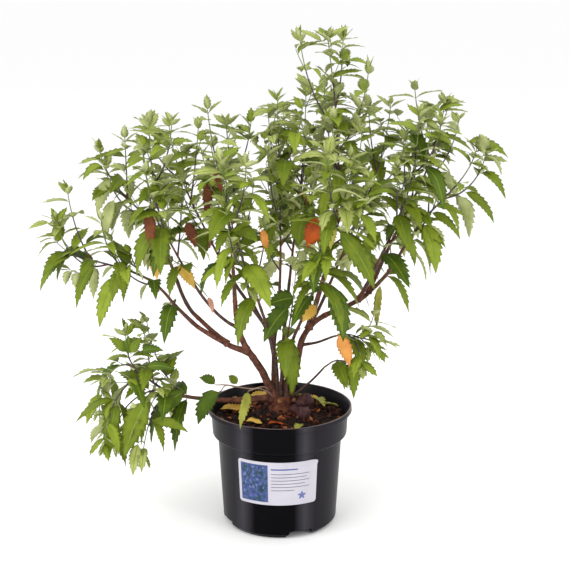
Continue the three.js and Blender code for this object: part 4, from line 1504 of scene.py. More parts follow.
@dataclass(frozen=True)
class Foliage:
    """All the masses, joined by part of the crown, leaves apart from stems."""

    groups: tuple[tuple[str, tuple[str, ...]], ...] = (
        ("left", ("left_up", "left_low", "left_mid", "left_front")),
        ("middle", ("centre", "centre_left", "front_left", "front_right", "front_low")),
        ("right", ("right_low", "right_up", "right_mid", "right_front")),
        ("rim", ("rim_right", "rim_twig", "rim_left")),
        ("back", ("back_left", "back_centre", "back_right")),
    )
    featured: tuple[Featured, ...] = (
        Featured("front_low", (7, -20, 261), (15, -26, 178), 0.14, Tint.MID),
        Featured("front_low", (20, -22, 308), (-15, -30, 301), 0.32, Tint.DEEP),
        Featured("front_low", (13, -20, 298), (-20, -26, 251), 0.21, Tint.DEEP),
        Featured("front_right", (62, -90, 342), (78, -94, 272), 0.17, Tint.DEEP),
        Featured("front_right", (52, -110, 392), (41, -114, 335), 0.14, Tint.DEEP),
        Featured("front_right", (69, -110, 416), (114, -112, 342), 0.14, Tint.MID),
        Featured("right_front", (128, -30, 397), (100, -36, 361), 0.2, Tint.MID),
        Featured("front_right", (79, -112, 459), (91, -116, 415), 0.18, Tint.MID),
        Featured("front_right", (32, -82, 431), (23, -90, 391), 0.34, Tint.MID),
        Featured("front_right", (52, -110, 429), (34, -116, 394), 0.3, Tint.ORANGE),
        Featured("front_right", (63, -110, 425), (61, -116, 392), 0.2, Tint.OLIVE),
        Featured("front_left", (-21, -96, 414), (-16, -102, 385), 0.16, Tint.PEACH),
        Featured("left_low", (-206, -22, 339), (-229, -28, 271), 0.14, Tint.FRESH),
        Featured("left_low", (-232, -20, 352), (-258, -26, 295), 0.1, Tint.MID, 22),
        Featured("left_low", (-267, -20, 363), (-304, -24, 317), 0.12, Tint.MID, 26, 0.6),
        Featured("left_low", (-187, -20, 344), (-198, -24, 302), 0.1, Tint.MID, 20),
        Featured("left_low", (-288, -19, 405), (-317, -19, 396), 0.14, Tint.YOUNG, 20, 0.5),
        Featured("left_mid", (-213, 8, 458), (-232, 6, 411), 0.17, Tint.UNDER),
        Featured("left_mid", (-209, 8, 432), (-223, 4, 377), 0.14, Tint.UNDER),
        Featured("rim_left", (-165, -76, 192), (-196, -82, 116), 0.18, Tint.MID, 8),
        Featured("rim_left", (-205, -66, 184), (-216, -74, 113), 0.15, Tint.MID, 10),
        Featured("rim_left", (-164, -66, 159), (-115, -66, 143), 0.13, Tint.MID, 24),
        Featured("rim_left", (-178, -76, 134), (-186, -80, 91), 0.17, Tint.YOUNG, 8),
        Featured("rim_left", (-194, -40, 241), (-217, -40, 261), 0.2, Tint.MID, 20),
        Featured("rim_left", (-191, -42, 240), (-192, -42, 265), 0.26, Tint.DEEP, 10),
        Featured("rim_left", (-188, -44, 241), (-174, -44, 263), 0.24, Tint.MID, 12),
        Featured("rim_left", (-175, -48, 245), (-146, -48, 246), 0.2, Tint.DEEP, 24),
        Featured("rim_left", (-169, -50, 225), (-132, -50, 221), 0.17, Tint.DEEP, 24),
        Featured("rim_left", (-121, -34, 188), (-161, -38, 149), 0.2, Tint.DEEP, 20),
        Featured("left_front", (-158, -80, 432), (-155, -86, 387), 0.16, Tint.RED),
        Featured("left_front", (-116, -46, 412), (-104, -52, 380), 0.2, Tint.RED),
        Featured("left_front", (-127, -50, 359), (-105, -54, 328), 0.19, Tint.YELLOW),
        Featured("left_front", (-157, -76, 374), (-149, -80, 346), 0.18, Tint.YELLOW),
        Featured("front_left", (-76, -108, 487), (-68, -112, 459), 0.17, Tint.RED),
        Featured("left_up", (-85, -2, 462), (-91, -8, 408), 0.12, Tint.RED),
        Featured("right_low", (236, 10, 504), (290, 8, 482), 0.14, Tint.MID, 28, 0.5),
        Featured("right_low", (233, 4, 441), (273, 0, 400), 0.12, Tint.MID, 26, 0.6),
        Featured("right_low", (190, -4, 416), (230, -8, 380), 0.12, Tint.MID, 26, 0.6),
        Featured("right_up", (54, 18, 627), (22, 14, 641), 0.14, Tint.YOUNG, 10, 0.5),
        Featured("right_up", (56, 18, 628), (86, 14, 645), 0.14, Tint.YOUNG, 10, 0.5),
        Featured("rim_right", (97, -38, 240), (95, -44, 181), 0.13, Tint.MID),
        Featured("rim_right", (73, -56, 271), (88, -64, 230), 0.2, Tint.PEACH),
        Featured("front_right", (47, -60, 309), (29, -64, 288), 0.28, Tint.YELLOW),
        Featured("right_low", (130, 2, 322), (126, -2, 261), 0.08, Tint.OLIVE, 10),
        Featured("left_front", (-90, -52, 318), (-84, -56, 296), 0.14, Tint.DRY, 30),
    )
    featured_seed: int = 19
    turned_share: float = 0.03
    turned_seed: int = 7
    turned_tints: tuple[Tint, ...] = (Tint.RED, Tint.YELLOW, Tint.OLIVE)
    turned_behind: float = 40.0
    turned_below: float = 440.0
    twig_sides: int = 5
    bud_radii: Pair = (0.3, 0.85)
    bud_swell: Pair = (0.5, 0.9)
    stem_sides: int = 7
    stem_per_step: int = 7
    joint_swell: float = 0.22
    joint_length: float = 2.6
    leader_tones: Pair = (0.34, 0.8)
    side_tones: Pair = (0.1, 0.66)

    def build(self, skeleton: Skeleton) -> None:
        """Grows the masses and makes their pieces.

        Args:
            skeleton: The lines and spaces of the whole shrub.
        """
        masses = {bough.name: Mass(bough, (i + 1) * SEED_STEP, skeleton)
                  for i, bough in enumerate(BOUGHS)}
        self.deal_autumn([leaf for mass in masses.values() for leaf in mass.leaves])
        draws = Draws(self.featured_seed)
        for item in self.featured:
            masses[item.mass].add_featured(item, draws)
        templates = {kind: kind.value.template() for kind in LeafKind}
        for group, names in self.groups:
            nodes = [f"shoots_{name}" for name in names]
            members = [masses[name] for name in names]
            self.make_leaves(f"leaves_{group}", members, templates, nodes)
            self.make_stems(f"stems_{group}", members, nodes)

    def deal_autumn(self, leaves: list[Leaf]) -> None:
        """Colours a few of the low leaves behind the shrub's middle.

        Args:
            leaves: All the leaves.
        """
        draws = Draws(self.turned_seed)
        for leaf in leaves:
            turned = draws() < self.turned_share and leaf.kind is LeafKind.LARGE
            if turned and leaf.root.y > self.turned_behind and leaf.root.z < self.turned_below:
                leaf.tint = self.turned_tints[int(draws() * len(self.turned_tints))]

    def make_leaves(self, name: str, members: list[Mass],
                    templates: dict[LeafKind, LeafTemplate], nodes: list[str]) -> None:
        """Joins the leaves of some masses.

        Args:
            name: The piece's name.
            members: The masses.
            templates: The leaf shapes.
            nodes: The solids that the piece stands for.
        """
        draft = MeshDraft()
        for mass in members:
            for leaf in mass.leaves:
                template, tones = templates[leaf.kind], leaf.tint.finishes()
                draft.add(template.place(leaf), template.faces,
                          [tones[side] for side in template.sides])
        draft.make(name, nodes)

    def make_stems(self, name: str, members: list[Mass], nodes: list[str]) -> None:
        """Joins the stems and fine twigs of some masses.

        Args:
            name: The piece's name.
            members: The masses.
            nodes: The solids that the piece stands for.
        """
        draft = MeshDraft()
        for mass in members:
            for i, shoot in enumerate(mass.shoots):
                self.add_stem(draft, shoot, self.side_tones if i else self.leader_tones)
            tubes = [Tube(path.smooth(2), lambda t, ends=radii: lerp(*ends, t), self.twig_sides)
                     for path, radii in mass.twigs]
            tubes += [Tube(path, self.bud_radius, self.twig_sides) for path in mass.buds]
            for tube in tubes:
                draft.add(*tube.shape(), StemFinish.GREEN.value)
        draft.make(name, nodes)

    def bud_radius(self, t: float) -> float:
        """Returns the radius of a bud and its stalk at a share of their length."""
        return self.bud_radii[self.bud_swell[0] < t < self.bud_swell[1]]

    def add_stem(self, draft: MeshDraft, shoot: Shoot, tones: Pair) -> None:
        """Adds one shoot's stem, swollen at its joints.

        Args:
            draft: The piece.
            shoot: The shoot.
            tones: The shares of its length at which its woody and its purple part end.
        """
        places = np.array([joint.place / shoot.length for joint in shoot.joints] or [2.0])

        def radius(t: float) -> float:
            """Works out the stem's radius with its swellings.

            Args:
                t: The share of its length.

            Returns:
                The radius there.
            """
            near = np.abs(places - t).min() * shoot.length
            return shoot.radius(t) * (
                1 + self.joint_swell * max(0.0, 1 - near / self.joint_length))

        tube = Tube(shoot.path.smooth(self.stem_per_step), radius, self.stem_sides)
        points, faces = tube.shape()
        finishes = []
        for face in faces:
            t = tube.share_of(face)
            tone = StemFinish.PURPLE if t < tones[1] else StemFinish.GREEN
            finishes.append((StemFinish.WOODY if t < tones[0] else tone).value)
        draft.add(points, faces, finishes)


class BarkFinish(Enum):
    """The woody surfaces."""

    CROWN = Finish("bark_crown", (122, 66, 42), (54, 29, 22), 150, (0.7, 0.9), 0.5, 520)
    BOUGH = Finish("bark_bough", (122, 74, 56), (62, 38, 30), 170, (0.6, 0.82), 0.3, 700)
    YOUNG = Finish("bark_young", (96, 68, 58), (58, 42, 40), 190, (0.5, 0.75), 0.15, 900)
    CUT = Finish("bark_cut", (150, 108, 76), (112, 76, 52), 260, (0.7, 0.9), 0.2, 900)


@dataclass(frozen=True)
class Branches:
    """The boughs with their bark: fine lengthwise ridges and ringed joints."""

    sides: int = 14
    per_step: int = 6
    ridge: float = 0.11
    ridges_round: float = 2.4
    ridges_along: float = 0.035
    ridge_level: float = 0.6
    grain_shift: float = 9.7
    rough: float = 0.06
    rough_scale: float = 0.35
    joint_spacing: float = 27.0
    joint_shift: float = 0.3
    joint_swell: float = 0.13
    joint_sharpness: float = 9.0
    collar: float = 0.4
    collar_length: float = 7.0
    young_below: float = 2.7

    def build(self, skeleton: Skeleton) -> None:
        """Makes the boughs as one piece.

        Args:
            skeleton: The boughs' lines.
        """
        draft = MeshDraft()
        for number, bough in enumerate(BOUGHS):
            self.add_bough(draft, bough, skeleton.limbs[bough.name], number)
        draft.make("boughs_bark", [f"bough_{bough.name}" for bough in BOUGHS])

    def add_bough(self, draft: MeshDraft, bough: Bough, path: Path, number: int) -> None:
        """Adds one bough.

        Args:
            draft: The piece.
            bough: Its sizes.
            path: Its line.
            number: Its number, which sets its grain.
        """
        foot, tip = bough.radius

        def radius(t: float) -> float:
            """Works out the bough's radius with its foot collar and its joints.

            Args:
                t: The share of its length.

            Returns:
                The radius there.
            """
            taper = lerp(foot, tip, t ** LIMB.taper)
            flare = foot * LIMB.flare * max(0.0, 1 - t / LIMB.flare_length)
            joint = (t * bough.length / self.joint_spacing + self.joint_shift * number) % 1
            swell = self.joint_swell * max(0.0, 1 - abs(joint - 0.5) * self.joint_sharpness)
            collar = self.collar * math.exp(-t * bough.length / self.collar_length)
            return (taper + flare) * (1 + swell + collar)

        def relief(point: Vector, angle: float, t: float) -> float:
            """Works out how far the bark stands out.

            Args:
                point: A point of the smooth surface.
                angle: The angle round the bough.
                t: The share of its length.

            Returns:
                The share of the radius.
            """
            grain = Vector((math.cos(angle) * self.ridges_round,
                            math.sin(angle) * self.ridges_round,
                            t * bough.length * self.ridges_along + number * self.grain_shift))
            ridge = 1 - abs(noise.noise(grain)) * 2
            bumps = self.rough * noise.noise(point * self.rough_scale)
            return self.ridge * (ridge - self.ridge_level) + bumps

        tube = Tube(path.smooth(self.per_step), radius, self.sides, relief)
        points, faces = tube.shape()
        finishes = []
        for face in faces:
            thin = lerp(foot, tip, tube.share_of(face)) < self.young_below
            finishes.append((BarkFinish.YOUNG if thin else BarkFinish.BOUGH).value)
        draft.add(points, faces, finishes)


@dataclass(frozen=True)
class WoodyCrown:
    """The knobbly woody base, with its furrows and the cut stubs of old stems."""

    rings: int = 46
    sides: int = 84
    sunk: float = 1.6
    least_radius: float = 0.6
    large_lobes: int = 3
    small_lobes: int = 5
    lobe_turn: float = 0.6
    furrow: float = 1.5
    furrow_depth: float = 2.4
    furrows_round: float = 2.6
    furrows_up: float = 1.4
    knot: float = 1.1
    knots_up: float = 2.0
    knot_scale: float = 3.1
    plain_below: float = 8.0
    stubs: tuple[tuple[float, float, float, float], ...] = (
        (70, 35, 13, 3.6), (150, 20, 12, 3.0), (262, 30, 13, 3.4), (325, 22, 14, 2.8),
        (20, 48, 12, 2.6),
    )
    stub_level: float = 0.35
    stub_out: float = 0.6
    stub_turn: float = 6.0
    stub_lift: float = 14.0
    stub_step: float = 2.0
    stub_sides: int = 14
    stub_flare: float = 1.2
    stub_rough: float = 0.1
    stub_grain: float = 0.5

    def radius_at(self, share: float) -> float:
        """Works out the crown's mean radius.

        Args:
            share: The share of its height.

        Returns:
            The radius there.
        """
        outs, ups = zip(*CROWN.flare)
        if share <= ups[-1]:
            return lerp(CROWN.neck, CROWN.radius, float(np.interp(share, ups, outs)))
        if share >= CROWN.top_share:
            return lerp(CROWN.top_radius, 0, (share - CROWN.top_share) / (1 - CROWN.top_share))
        ease = (share - ups[-1]) / (CROWN.top_share - ups[-1])
        return lerp(CROWN.neck, CROWN.top_radius, ease * ease)

    def build(self) -> None:
        """Makes the crown and its stubs."""
        draft = MeshDraft()
        rows = []
        for i in range(self.rings + 1):
            share = i / self.rings
            z = CROWN_FOOT - self.sunk + share * (CROWN.height + self.sunk)
            rows.extend(self.point(share, 2 * math.pi * k / self.sides, z)
                        for k in range(self.sides))
        faces = closed_rings(self.rings + 1, self.sides)
        draft.add(np.array(rows), faces, BarkFinish.CROWN.value)
        for azimuth, rise, length, radius in self.stubs:
            self.add_stub(draft, azimuth, rise, length, radius)
        draft.make("crown_bark", ["woody_crown"])

    def point(self, share: float, angle: float, z: float) -> Triple:
        """Works out one point of the crown's surface.

        Args:
            share: The share of the crown's height.
            angle: The angle round it.
            z: Its height.

        Returns:
            The point.
        """
        c, s = math.cos(angle), math.sin(angle)
        swell = 1 + CROWN.lobes * math.sin(self.large_lobes * angle + self.lobe_turn)
        swell += CROWN.lobes / 2 * math.sin(self.small_lobes * angle)
        radius = max(self.radius_at(share), self.least_radius) * swell
        grain = Vector((c * self.furrows_round, s * self.furrows_round,
                        share * self.furrows_up))
        furrow = (1 - self.furrow_depth * abs(noise.noise(grain))) * self.furrow
        knots = noise.noise(Vector((c, s, share * self.knots_up)) * self.knot_scale)
        radius += (furrow + knots * self.knot) * min(1.0, radius / self.plain_below)
        return (CROWN.x + c * radius, CROWN.y + s * radius, z)

    def add_stub(self, draft: MeshDraft, azimuth: float, rise: float, length: float,
                 radius: float) -> None:
        """Adds the stub of a stem that was cut off.

        Args:
            draft: The piece.
            azimuth: The way that it points.
            rise: Its rise.
            length: Its length beyond the crown's middle.
            radius: Its radius.
        """
        start = Vector((CROWN.x, CROWN.y, CROWN_FOOT + CROWN.height * self.stub_level))
        start += direction(azimuth, 0) * CROWN.neck * self.stub_out
        path = Path.grown(start, azimuth, self.stub_turn, (rise, rise + self.stub_lift), length,
                          self.stub_step)
        tube = Tube(path, lambda t: radius * (self.stub_flare + (1 - self.stub_flare) * t),
                    self.stub_sides, lambda point, angle, t:
                    self.stub_rough * noise.noise(point * self.stub_grain))
        points, faces = tube.shape()
        fans = [len(face) == 3 and len(points) - 1 in face for face in faces]
        tones = [(BarkFinish.CUT if fan else BarkFinish.CROWN).value for fan in fans]
        draft.add(points, faces, tones)


@dataclass(frozen=True)
class PlasticFinish(Finish):
    """Black plastic with painted sheen: highlight bands and lighter sides, painted across X."""

    # pale is the painted highlight colour; tone paints the lighter sheen at the sides.
    pale: Shade = (58, 56, 61)
    left_sheen_band: Triple = (0.19, 0.25, 0.33)
    right_sheen_band: Triple = (0.6, 0.67, 0.74)

    def colour(self, sheet: NodeSheet, place: Socket) -> Socket:
        """Lays out the painted sheen: highlight bands and lighter sides across the pot's width.

        Args:
            sheet: The material.
            place: The stretched coordinates, which the bands don't need.

        Returns:
            The colour.
        """
        dark, tone, pale = linear(self.dark), linear(self.tone), linear(self.pale)
        # Tone, pale, dark, dark, pale, tone: painted highlight bands over the black middle.
        bands = zip((*self.left_sheen_band, *self.right_sheen_band), (tone, pale, dark, dark, pale, tone))
        return sheet.ramp(sheet.across(2 * POT.lip_radius * MM), list(bands))


class PotFinish(Enum):
    """The moulded black plastic with painted sheen, and its rim's painted highlight."""

    PLASTIC = PlasticFinish("black_plastic_painted_sheen", (34, 32, 36), (3, 3, 6), rough=(0.26, 0.4),
                            relief=0.03, grain=260, stretch=(1, 1, 0.08), gloss=0.05,
                            grain_detail=4.0)
    # The rim's colour is a painted highlight: a light line along the lip's top.
    RIM_HIGHLIGHT = Finish("rim_painted_highlight", (124, 98, 98), (60, 46, 50), 60, (0.3, 0.5), 0.02, 260)


@dataclass(frozen=True)
class Pot:
    """The nursery pot: a turned shell with a stepped collar, lip, channels and holes."""

    facets: int = 160
    edge_radius: float = 1.1
    round_steps: int = 5
    crease: float = 32.0
    count: int = 4
    azimuth: float = 22.0
    channel_height: float = 10.0
    foot_width: float = 38.0
    roof_width: float = 30.0
    inner_radius: float = 46.0
    overshoot: float = 12.0
    past_face: float = 1.0
    hole_radius: float = 4.5
    hole_at: float = 61.0
    hole_height: float = 13.0
    hole_length: float = 20.0
    hole_sides: int = 28
    rim_depth: float = 0.5

    def build(self) -> None:
        """Makes the pot."""
        outside = self.turned([(0, 0), *self.rounded(self.outline()), (0, POT.height)])
        inner_lip, above = POT.lip_radius - POT.lip_wall, POT.height + self.past_face
        mouth = [(inner_lip, POT.height), (inner_lip, above), (0, above)]
        cavity = self.turned([(0, POT.floor), *self.cavity(), *mouth])
        azimuths = [self.azimuth + i * 360 / self.count for i in range(self.count)]
        for azimuth in azimuths:
            self.cut(cavity, self.channel(azimuth, POT.floor))
        self.cut(outside, cavity)
        for azimuth in azimuths:
            self.cut(outside, self.channel(azimuth, 0))
        for azimuth in azimuths:
            self.cut(outside, self.hole(azimuth))
        mesh = outside.data.copy()
        mesh.name = "pot_shell"
        bpy.data.objects.remove(outside)
        mesh.materials.clear()
        for finish in PotFinish:
            mesh.materials.append(finish.value.material())
        # Faces on the lip's top take the rim's painted highlight; all others take the black
        # plastic.
        for face in mesh.polygons:
            face.material_index = int(face.center.z > (POT.height - self.rim_depth) * MM)
        seat("pot_shell", mesh, ["pot"], self.crease)

    @staticmethod
    def outline() -> list[Pair]:
        """Lists the outside's corners.

        Returns:
            Radius and height from the underside to the lip.
        """
        corner = POT.corner_radius
        lip = POT.height - POT.lip_height
        return [
            (POT.base_radius - corner, 0), (POT.base_radius, corner),
            (POT.body_top_radius, POT.shoulder()),
            (POT.collar_radius, POT.shoulder() + POT.step_height),
            (POT.collar_radius + POT.collar_draft, lip), (POT.lip_radius, lip),
            (POT.lip_radius, POT.height),
        ]

    @staticmethod
    def cavity() -> list[Pair]:
        """Lists the inside's corners.

        Returns:
            Radius and height from the floor to the lip.
        """
        shoulder = POT.height - POT.collar_height
        return [
            (POT.base_radius - POT.wall - POT.inside_corner, POT.floor),
            (POT.base_radius - POT.wall, POT.floor + POT.inside_corner),
            (POT.body_top_radius - POT.wall, shoulder),
            (POT.collar_radius - POT.wall, shoulder + POT.step_height),
            (POT.collar_radius + POT.collar_draft - POT.wall, POT.height - POT.lip_height),
        ]

    def rounded(self, corners: list[Pair]) -> list[Pair]:
        """Rounds the corners of a profile.

        Args:
            corners: The corners.

        Returns:
            The finer profile.
        """
        fine = [corners[0]]
        for before, here, after in zip(corners, corners[1:], corners[2:]):
            a, b, c = (Vector(point) for point in (before, here, after))
            reach = min(self.edge_radius, (a - b).length / 2, (c - b).length / 2)
            start, end = b.lerp(a, reach / (a - b).length), b.lerp(c, reach / (c - b).length)
            for i in range(self.round_steps + 1):
                t = i / self.round_steps
                point = start.lerp(b, t).lerp(b.lerp(end, t), t)
                fine.append((point.x, point.y))
        last = Vector(corners[-1])
        fine.append((last.x - self.rim_depth, last.y))
        return fine

    def turned(self, profile: list[Pair]) -> bpy.types.Object:
        """Turns a profile about +Z.

        Args:
            profile: Radius and height pairs from the axis back to the axis.

        Returns:
            A closed object.
        """
        round_once = circle(self.facets)
        middle = profile[1:-1]
        rows = [(radius * c, radius * s, z) for radius, z in middle for c, s in round_once]
        return self.bare(np.array(rows), closed_rings(len(middle), self.facets))

    def prism(self, azimuth: float, *outlines: list[Triple]) -> bpy.types.Object:
        """Makes a closed block between two outlines.

        Args:
            azimuth: The way to which it is turned.
            outlines: Its two ends, as they are at azimuth 0.

        Returns:
            The block.
        """
        turn = Matrix.Rotation(math.radians(azimuth), 3, "Z")
        rows = [(turn @ Vector(point))[:] for outline in outlines for point in outline]
        return self.bare(np.array(rows), closed_rings(2, len(outlines[0])))

    @staticmethod
    def bare(points: np.ndarray, faces: list[Face]) -> bpy.types.Object:
        """Makes an undressed object for cutting.

        Args:
            points: One point a row, in millimetres.
            faces: The corners of each face.

        Returns:
            The object, in the scene.
        """
        mesh = bpy.data.meshes.new("blank")
        mesh.from_pydata((points * MM).tolist(), [], faces)
        blank = bpy.data.objects.new("blank", mesh)
        bpy.context.scene.collection.objects.link(blank)
        return blank

    @staticmethod
    def cut(body: bpy.types.Object, cutter: bpy.types.Object) -> None:
        """Cuts one closed object out of another.

        Args:
            body: What is cut.
            cutter: What is cut away, which is then removed.
        """
        step = body.modifiers.new("cut", "BOOLEAN")
        step.operation = "DIFFERENCE"
        step.solver = "EXACT"
        step.object = cutter
        graph = bpy.context.evaluated_depsgraph_get()
        mesh = bpy.data.meshes.new_from_object(body.evaluated_get(graph))
        body.modifiers.remove(step)
        body.data = mesh
        bpy.data.objects.remove(cutter)

    def channel(self, azimuth: float, grow: float) -> bpy.types.Object:
        """Makes the block of a drainage channel under the pot.

        Args:
            azimuth: The way that it runs.
            grow: The thickness by which it is larger than the channel.

        Returns:
            The block.
        """
        half_foot, half_roof = self.foot_width / 2 + grow, self.roof_width / 2 + grow
        roof = self.channel_height + grow
        section = [(-half_foot, -self.past_face), (half_foot, -self.past_face), (half_foot, 0),
                   (half_roof, roof), (-half_roof, roof), (-half_foot, 0)]
        ends = (self.inner_radius - grow, POT.base_radius + self.overshoot)
        return self.prism(azimuth, *([(out, side, z) for side, z in section] for out in ends))

    def hole(self, azimuth: float) -> bpy.types.Object:
        """Makes the drill of a drain hole.

        Args:
            azimuth: The hole's azimuth.

        Returns:
            The drill.
        """
        rim = [(self.hole_at + self.hole_radius * c, self.hole_radius * s)
               for c, s in circle(self.hole_sides)]
        levels = (self.hole_height - self.hole_length / 2, self.hole_height + self.hole_length / 2)
        return self.prism(azimuth, *([(x, y, z) for x, y in rim] for z in levels))


class PrintFinish(Enum):
    """The label's paper and inks."""

    PAPER = Finish("white_paper", (190, 187, 196), (182, 179, 189), 40, (0.4, 0.5), 0.02, 900,
                   gloss=0.3)
    SKY = Finish("ink_blue", (74, 92, 138), (30, 54, 92), 190, (0.35, 0.45), 0.01, 900)
    LEAVES = Finish("ink_green", (44, 76, 66), (24, 50, 48), 160, (0.35, 0.45), 0.01, 900)
    VIOLET = Finish("ink_violet", (88, 96, 156), (68, 78, 138), 200, (0.35, 0.45), 0.01, 900)
    LILAC = Finish("ink_lilac", (104, 116, 170), (86, 98, 156), 200, (0.35, 0.45), 0.01, 900)
    GREY = Finish("ink_grey", (112, 110, 124), (98, 96, 112), 200, (0.4, 0.5), 0.01, 900)


@dataclass(frozen=True)
class Rule:
    """A printed rule: the height of its middle, its length and its own height."""

    up: float
    length: float
    tall: float = 0.9


@dataclass(frozen=True)
class Label:
    """The sticker bent round the pot's front: a panel of blossom and a few thin rules."""

    azimuth: float = 268.0
    width: float = 106.0
    height: float = 59.5
    middle: float = 78.5
    thickness: float = 0.5
    corner_radius: float = 4.0
    columns: int = 72
    rows: int = 24
    crease: float = 40.0
    fold_reach: float = 9.0
    fold_lift: float = 2.6
    panel_width: float = 37.0
    panel_columns: int = 16
    margin: float = 4.0
    ink: float = 0.1
    ink_foot: float = 0.05
    blossoms: int = 46
    panel_seed: int = 31
    layer: float = 2.0
    layer_step: float = 0.02
    clear_edge: float = 3.2
    petals: int = 5
    petal_points: int = 20
    petal_dent: float = 0.28
    blossom_sizes: Pair = (1.3, 2.6)
    leaf_outline: tuple[Pair, ...] = (
        (-3.0, 0.0), (-1.0, -0.9), (1.2, -0.8), (3.0, 0.0), (1.2, 0.8), (-1.0, 0.9),
    )
    title: Rule = Rule(20, 34, 1.8)
    text: tuple[Rule, ...] = (Rule(13.5, 50), Rule(9, 46), Rule(4.5, 50), Rule(0, 44),
                              Rule(-4.5, 50), Rule(-9, 30))
    rule_columns: int = 12
    flower_at: Pair = (40.0, -17.0)
    flower_sizes: Pair = (6.0, 2.0)
    flower_turn: float = 90.0

    def place(self, across: float, up: float, lift: float) -> Triple:
        """Bends a point of the flat label round the pot.

        Args:
            across: Distance from the label's middle to the right.
            up: Distance above its middle.
            lift: Distance out from the pot's wall.

        Returns:
            The point.
        """
        corner = math.hypot(self.width / 2 - across, self.height / 2 - up)
        lift += self.fold_lift * (1 - smoothstep(corner, 0, self.fold_reach))
        angle = math.radians(self.azimuth) + across / POT.radius_at(self.middle)
        level = self.middle + up
        radius = POT.radius_at(level) + GAP + lift
        return radius * math.cos(angle), radius * math.sin(angle), level

    def half_height(self, across: float) -> float:
        """Returns half the label's height at a distance from its middle."""
        into = max(0.0, self.corner_radius - (self.width / 2 - abs(across)))
        return self.height / 2 - self.corner_radius + math.sqrt(self.corner_radius ** 2 - into ** 2)

    def build(self) -> None:
        """Makes the paper and its print."""
        draft = MeshDraft()
        stations = [self.width / 2 * math.sin(math.pi * (i / self.columns - 0.5))
                    for i in range(self.columns + 1)]
        self.add_sheet(draft, stations, self.half_height, (0.0, self.thickness),
                       PrintFinish.PAPER.value)
        draft.make("label_sheet", ["label"], self.crease)
        draft = MeshDraft()
        self.add_panel(draft)
        self.add_rules(draft)
        draft.make("label_print", (), self.crease)

    def add_sheet(self, draft: MeshDraft, stations: list[float],
                  half_height: Callable[[float], float], lifts: Pair, finish: Finish,
                  middle: float = 0.0) -> None:
        """Adds a thin bent sheet, closed all round.

        Args:
            draft: The piece.
            stations: Places across, from left to right.
            half_height: Half the sheet's height at each.
            lifts: How far its back and its front stand out.
            finish: Its finish.
            middle: The height of its middle above the label's.
        """
        wide, tall = len(stations), self.rows + 1
        points = [self.place(across, middle + half_height(across) * (2 * j / self.rows - 1), lift)
                  for lift in lifts for across in stations for j in range(tall)]

        def face(*corners: tuple[int, int, int]) -> Face:
            """Returns the numbers of corners, each given by its side, column and row."""
            return tuple((side * wide + i) * tall + j for side, i, j in corners)

        faces, top, end = [], tall - 1, wide - 1
        for i in range(end):
            for j in range(top):
                faces.append(face((1, i, j), (1, i + 1, j), (1, i + 1, j + 1), (1, i, j + 1)))
                faces.append(face((0, i, j), (0, i, j + 1), (0, i + 1, j + 1), (0, i + 1, j)))
            faces.append(face((0, i, 0), (0, i + 1, 0), (1, i + 1, 0), (1, i, 0)))
            faces.append(face((0, i, top), (1, i, top), (1, i + 1, top), (0, i + 1, top)))
        for j in range(top):
            faces.append(face((0, 0, j), (1, 0, j), (1, 0, j + 1), (0, 0, j + 1)))
            faces.append(face((0, end, j), (0, end, j + 1), (1, end, j + 1), (1, end, j)))
        draft.add(np.array(points), faces, finish)

    def add_flat(self, draft: MeshDraft, outline: list[Pair], lift: float,
                 finish: Finish) -> None:
        """Adds a small printed shape.

        Args:
            draft: The piece.
            outline: Its corners on the flat label, from above.
            lift: How far it stands out from the paper.
            finish: Its ink.
        """
        front = self.thickness + lift
        points = [self.place(x, y, level) for level in (front, front - self.ink)
                  for x, y in outline]
        count = len(outline)
        faces = [tuple(range(count)), tuple(reversed(range(count, 2 * count)))]
        faces += [((k + 1) % count, k, k + count, (k + 1) % count + count)
                  for k in range(count)]
        draft.add(np.array(points), faces, finish)

    def add_band(self, draft: MeshDraft, left: float, right: float, columns: int, tall: float,
                 finish: Finish, middle: float = 0.0) -> None:
        """Adds a printed rectangle.

        Args:
            draft: The piece.
            left: Its left edge.
            right: Its right edge.
            columns: How many parts it has across.
            tall: Half its height.
            finish: Its ink.
            middle: The height of its middle above the label's.
        """
        stations = [lerp(left, right, i / columns) for i in range(columns + 1)]
        lifts = (self.thickness - self.ink_foot, self.thickness + self.ink)
        self.add_sheet(draft, stations, lambda _: tall, lifts, finish, middle)

    def add_panel(self, draft: MeshDraft) -> None:
        """Adds the panel: leaves and five-petalled blossoms on a blue ground.

        Args:
            draft: The piece.
        """
        left = -self.width / 2 + self.margin
        right = left + self.panel_width
        half = self.height / 2 - self.margin
        self.add_band(draft, left, right, self.panel_columns, half, PrintFinish.SKY.value)
        draws = Draws(self.panel_seed)
        reach = self.clear_edge
        spots = [(draws.between(left + reach, right - reach),
                  draws.between(-half + reach, half - reach)) for _ in range(self.blossoms * 2)]
        for number, spot in enumerate(spots):
            turn = draws() * 360
            lift = self.ink * (self.layer + self.layer_step * number)
            if number < self.blossoms:
                self.add_leaf(draft, spot, turn, lift)
            else:
                ink = (PrintFinish.VIOLET, PrintFinish.LILAC)[number % 2].value
                self.add_blossom(draft, spot, turn, draws.between(*self.blossom_sizes), lift, ink)

    def add_leaf(self, draft: MeshDraft, spot: Pair, turn: float, lift: float) -> None:
        """Adds a small pointed leaf to the panel.

        Args:
            draft: The piece.
            spot: Its middle on the flat label.
            turn: Its angle in degrees.
            lift: How far it stands out from the paper.
        """
        x, y = spot
        c, s = math.cos(math.radians(turn)), math.sin(math.radians(turn))
        outline = [(x + px * c - py * s, y + px * s + py * c) for px, py in self.leaf_outline]
        self.add_flat(draft, outline, lift, PrintFinish.LEAVES.value)

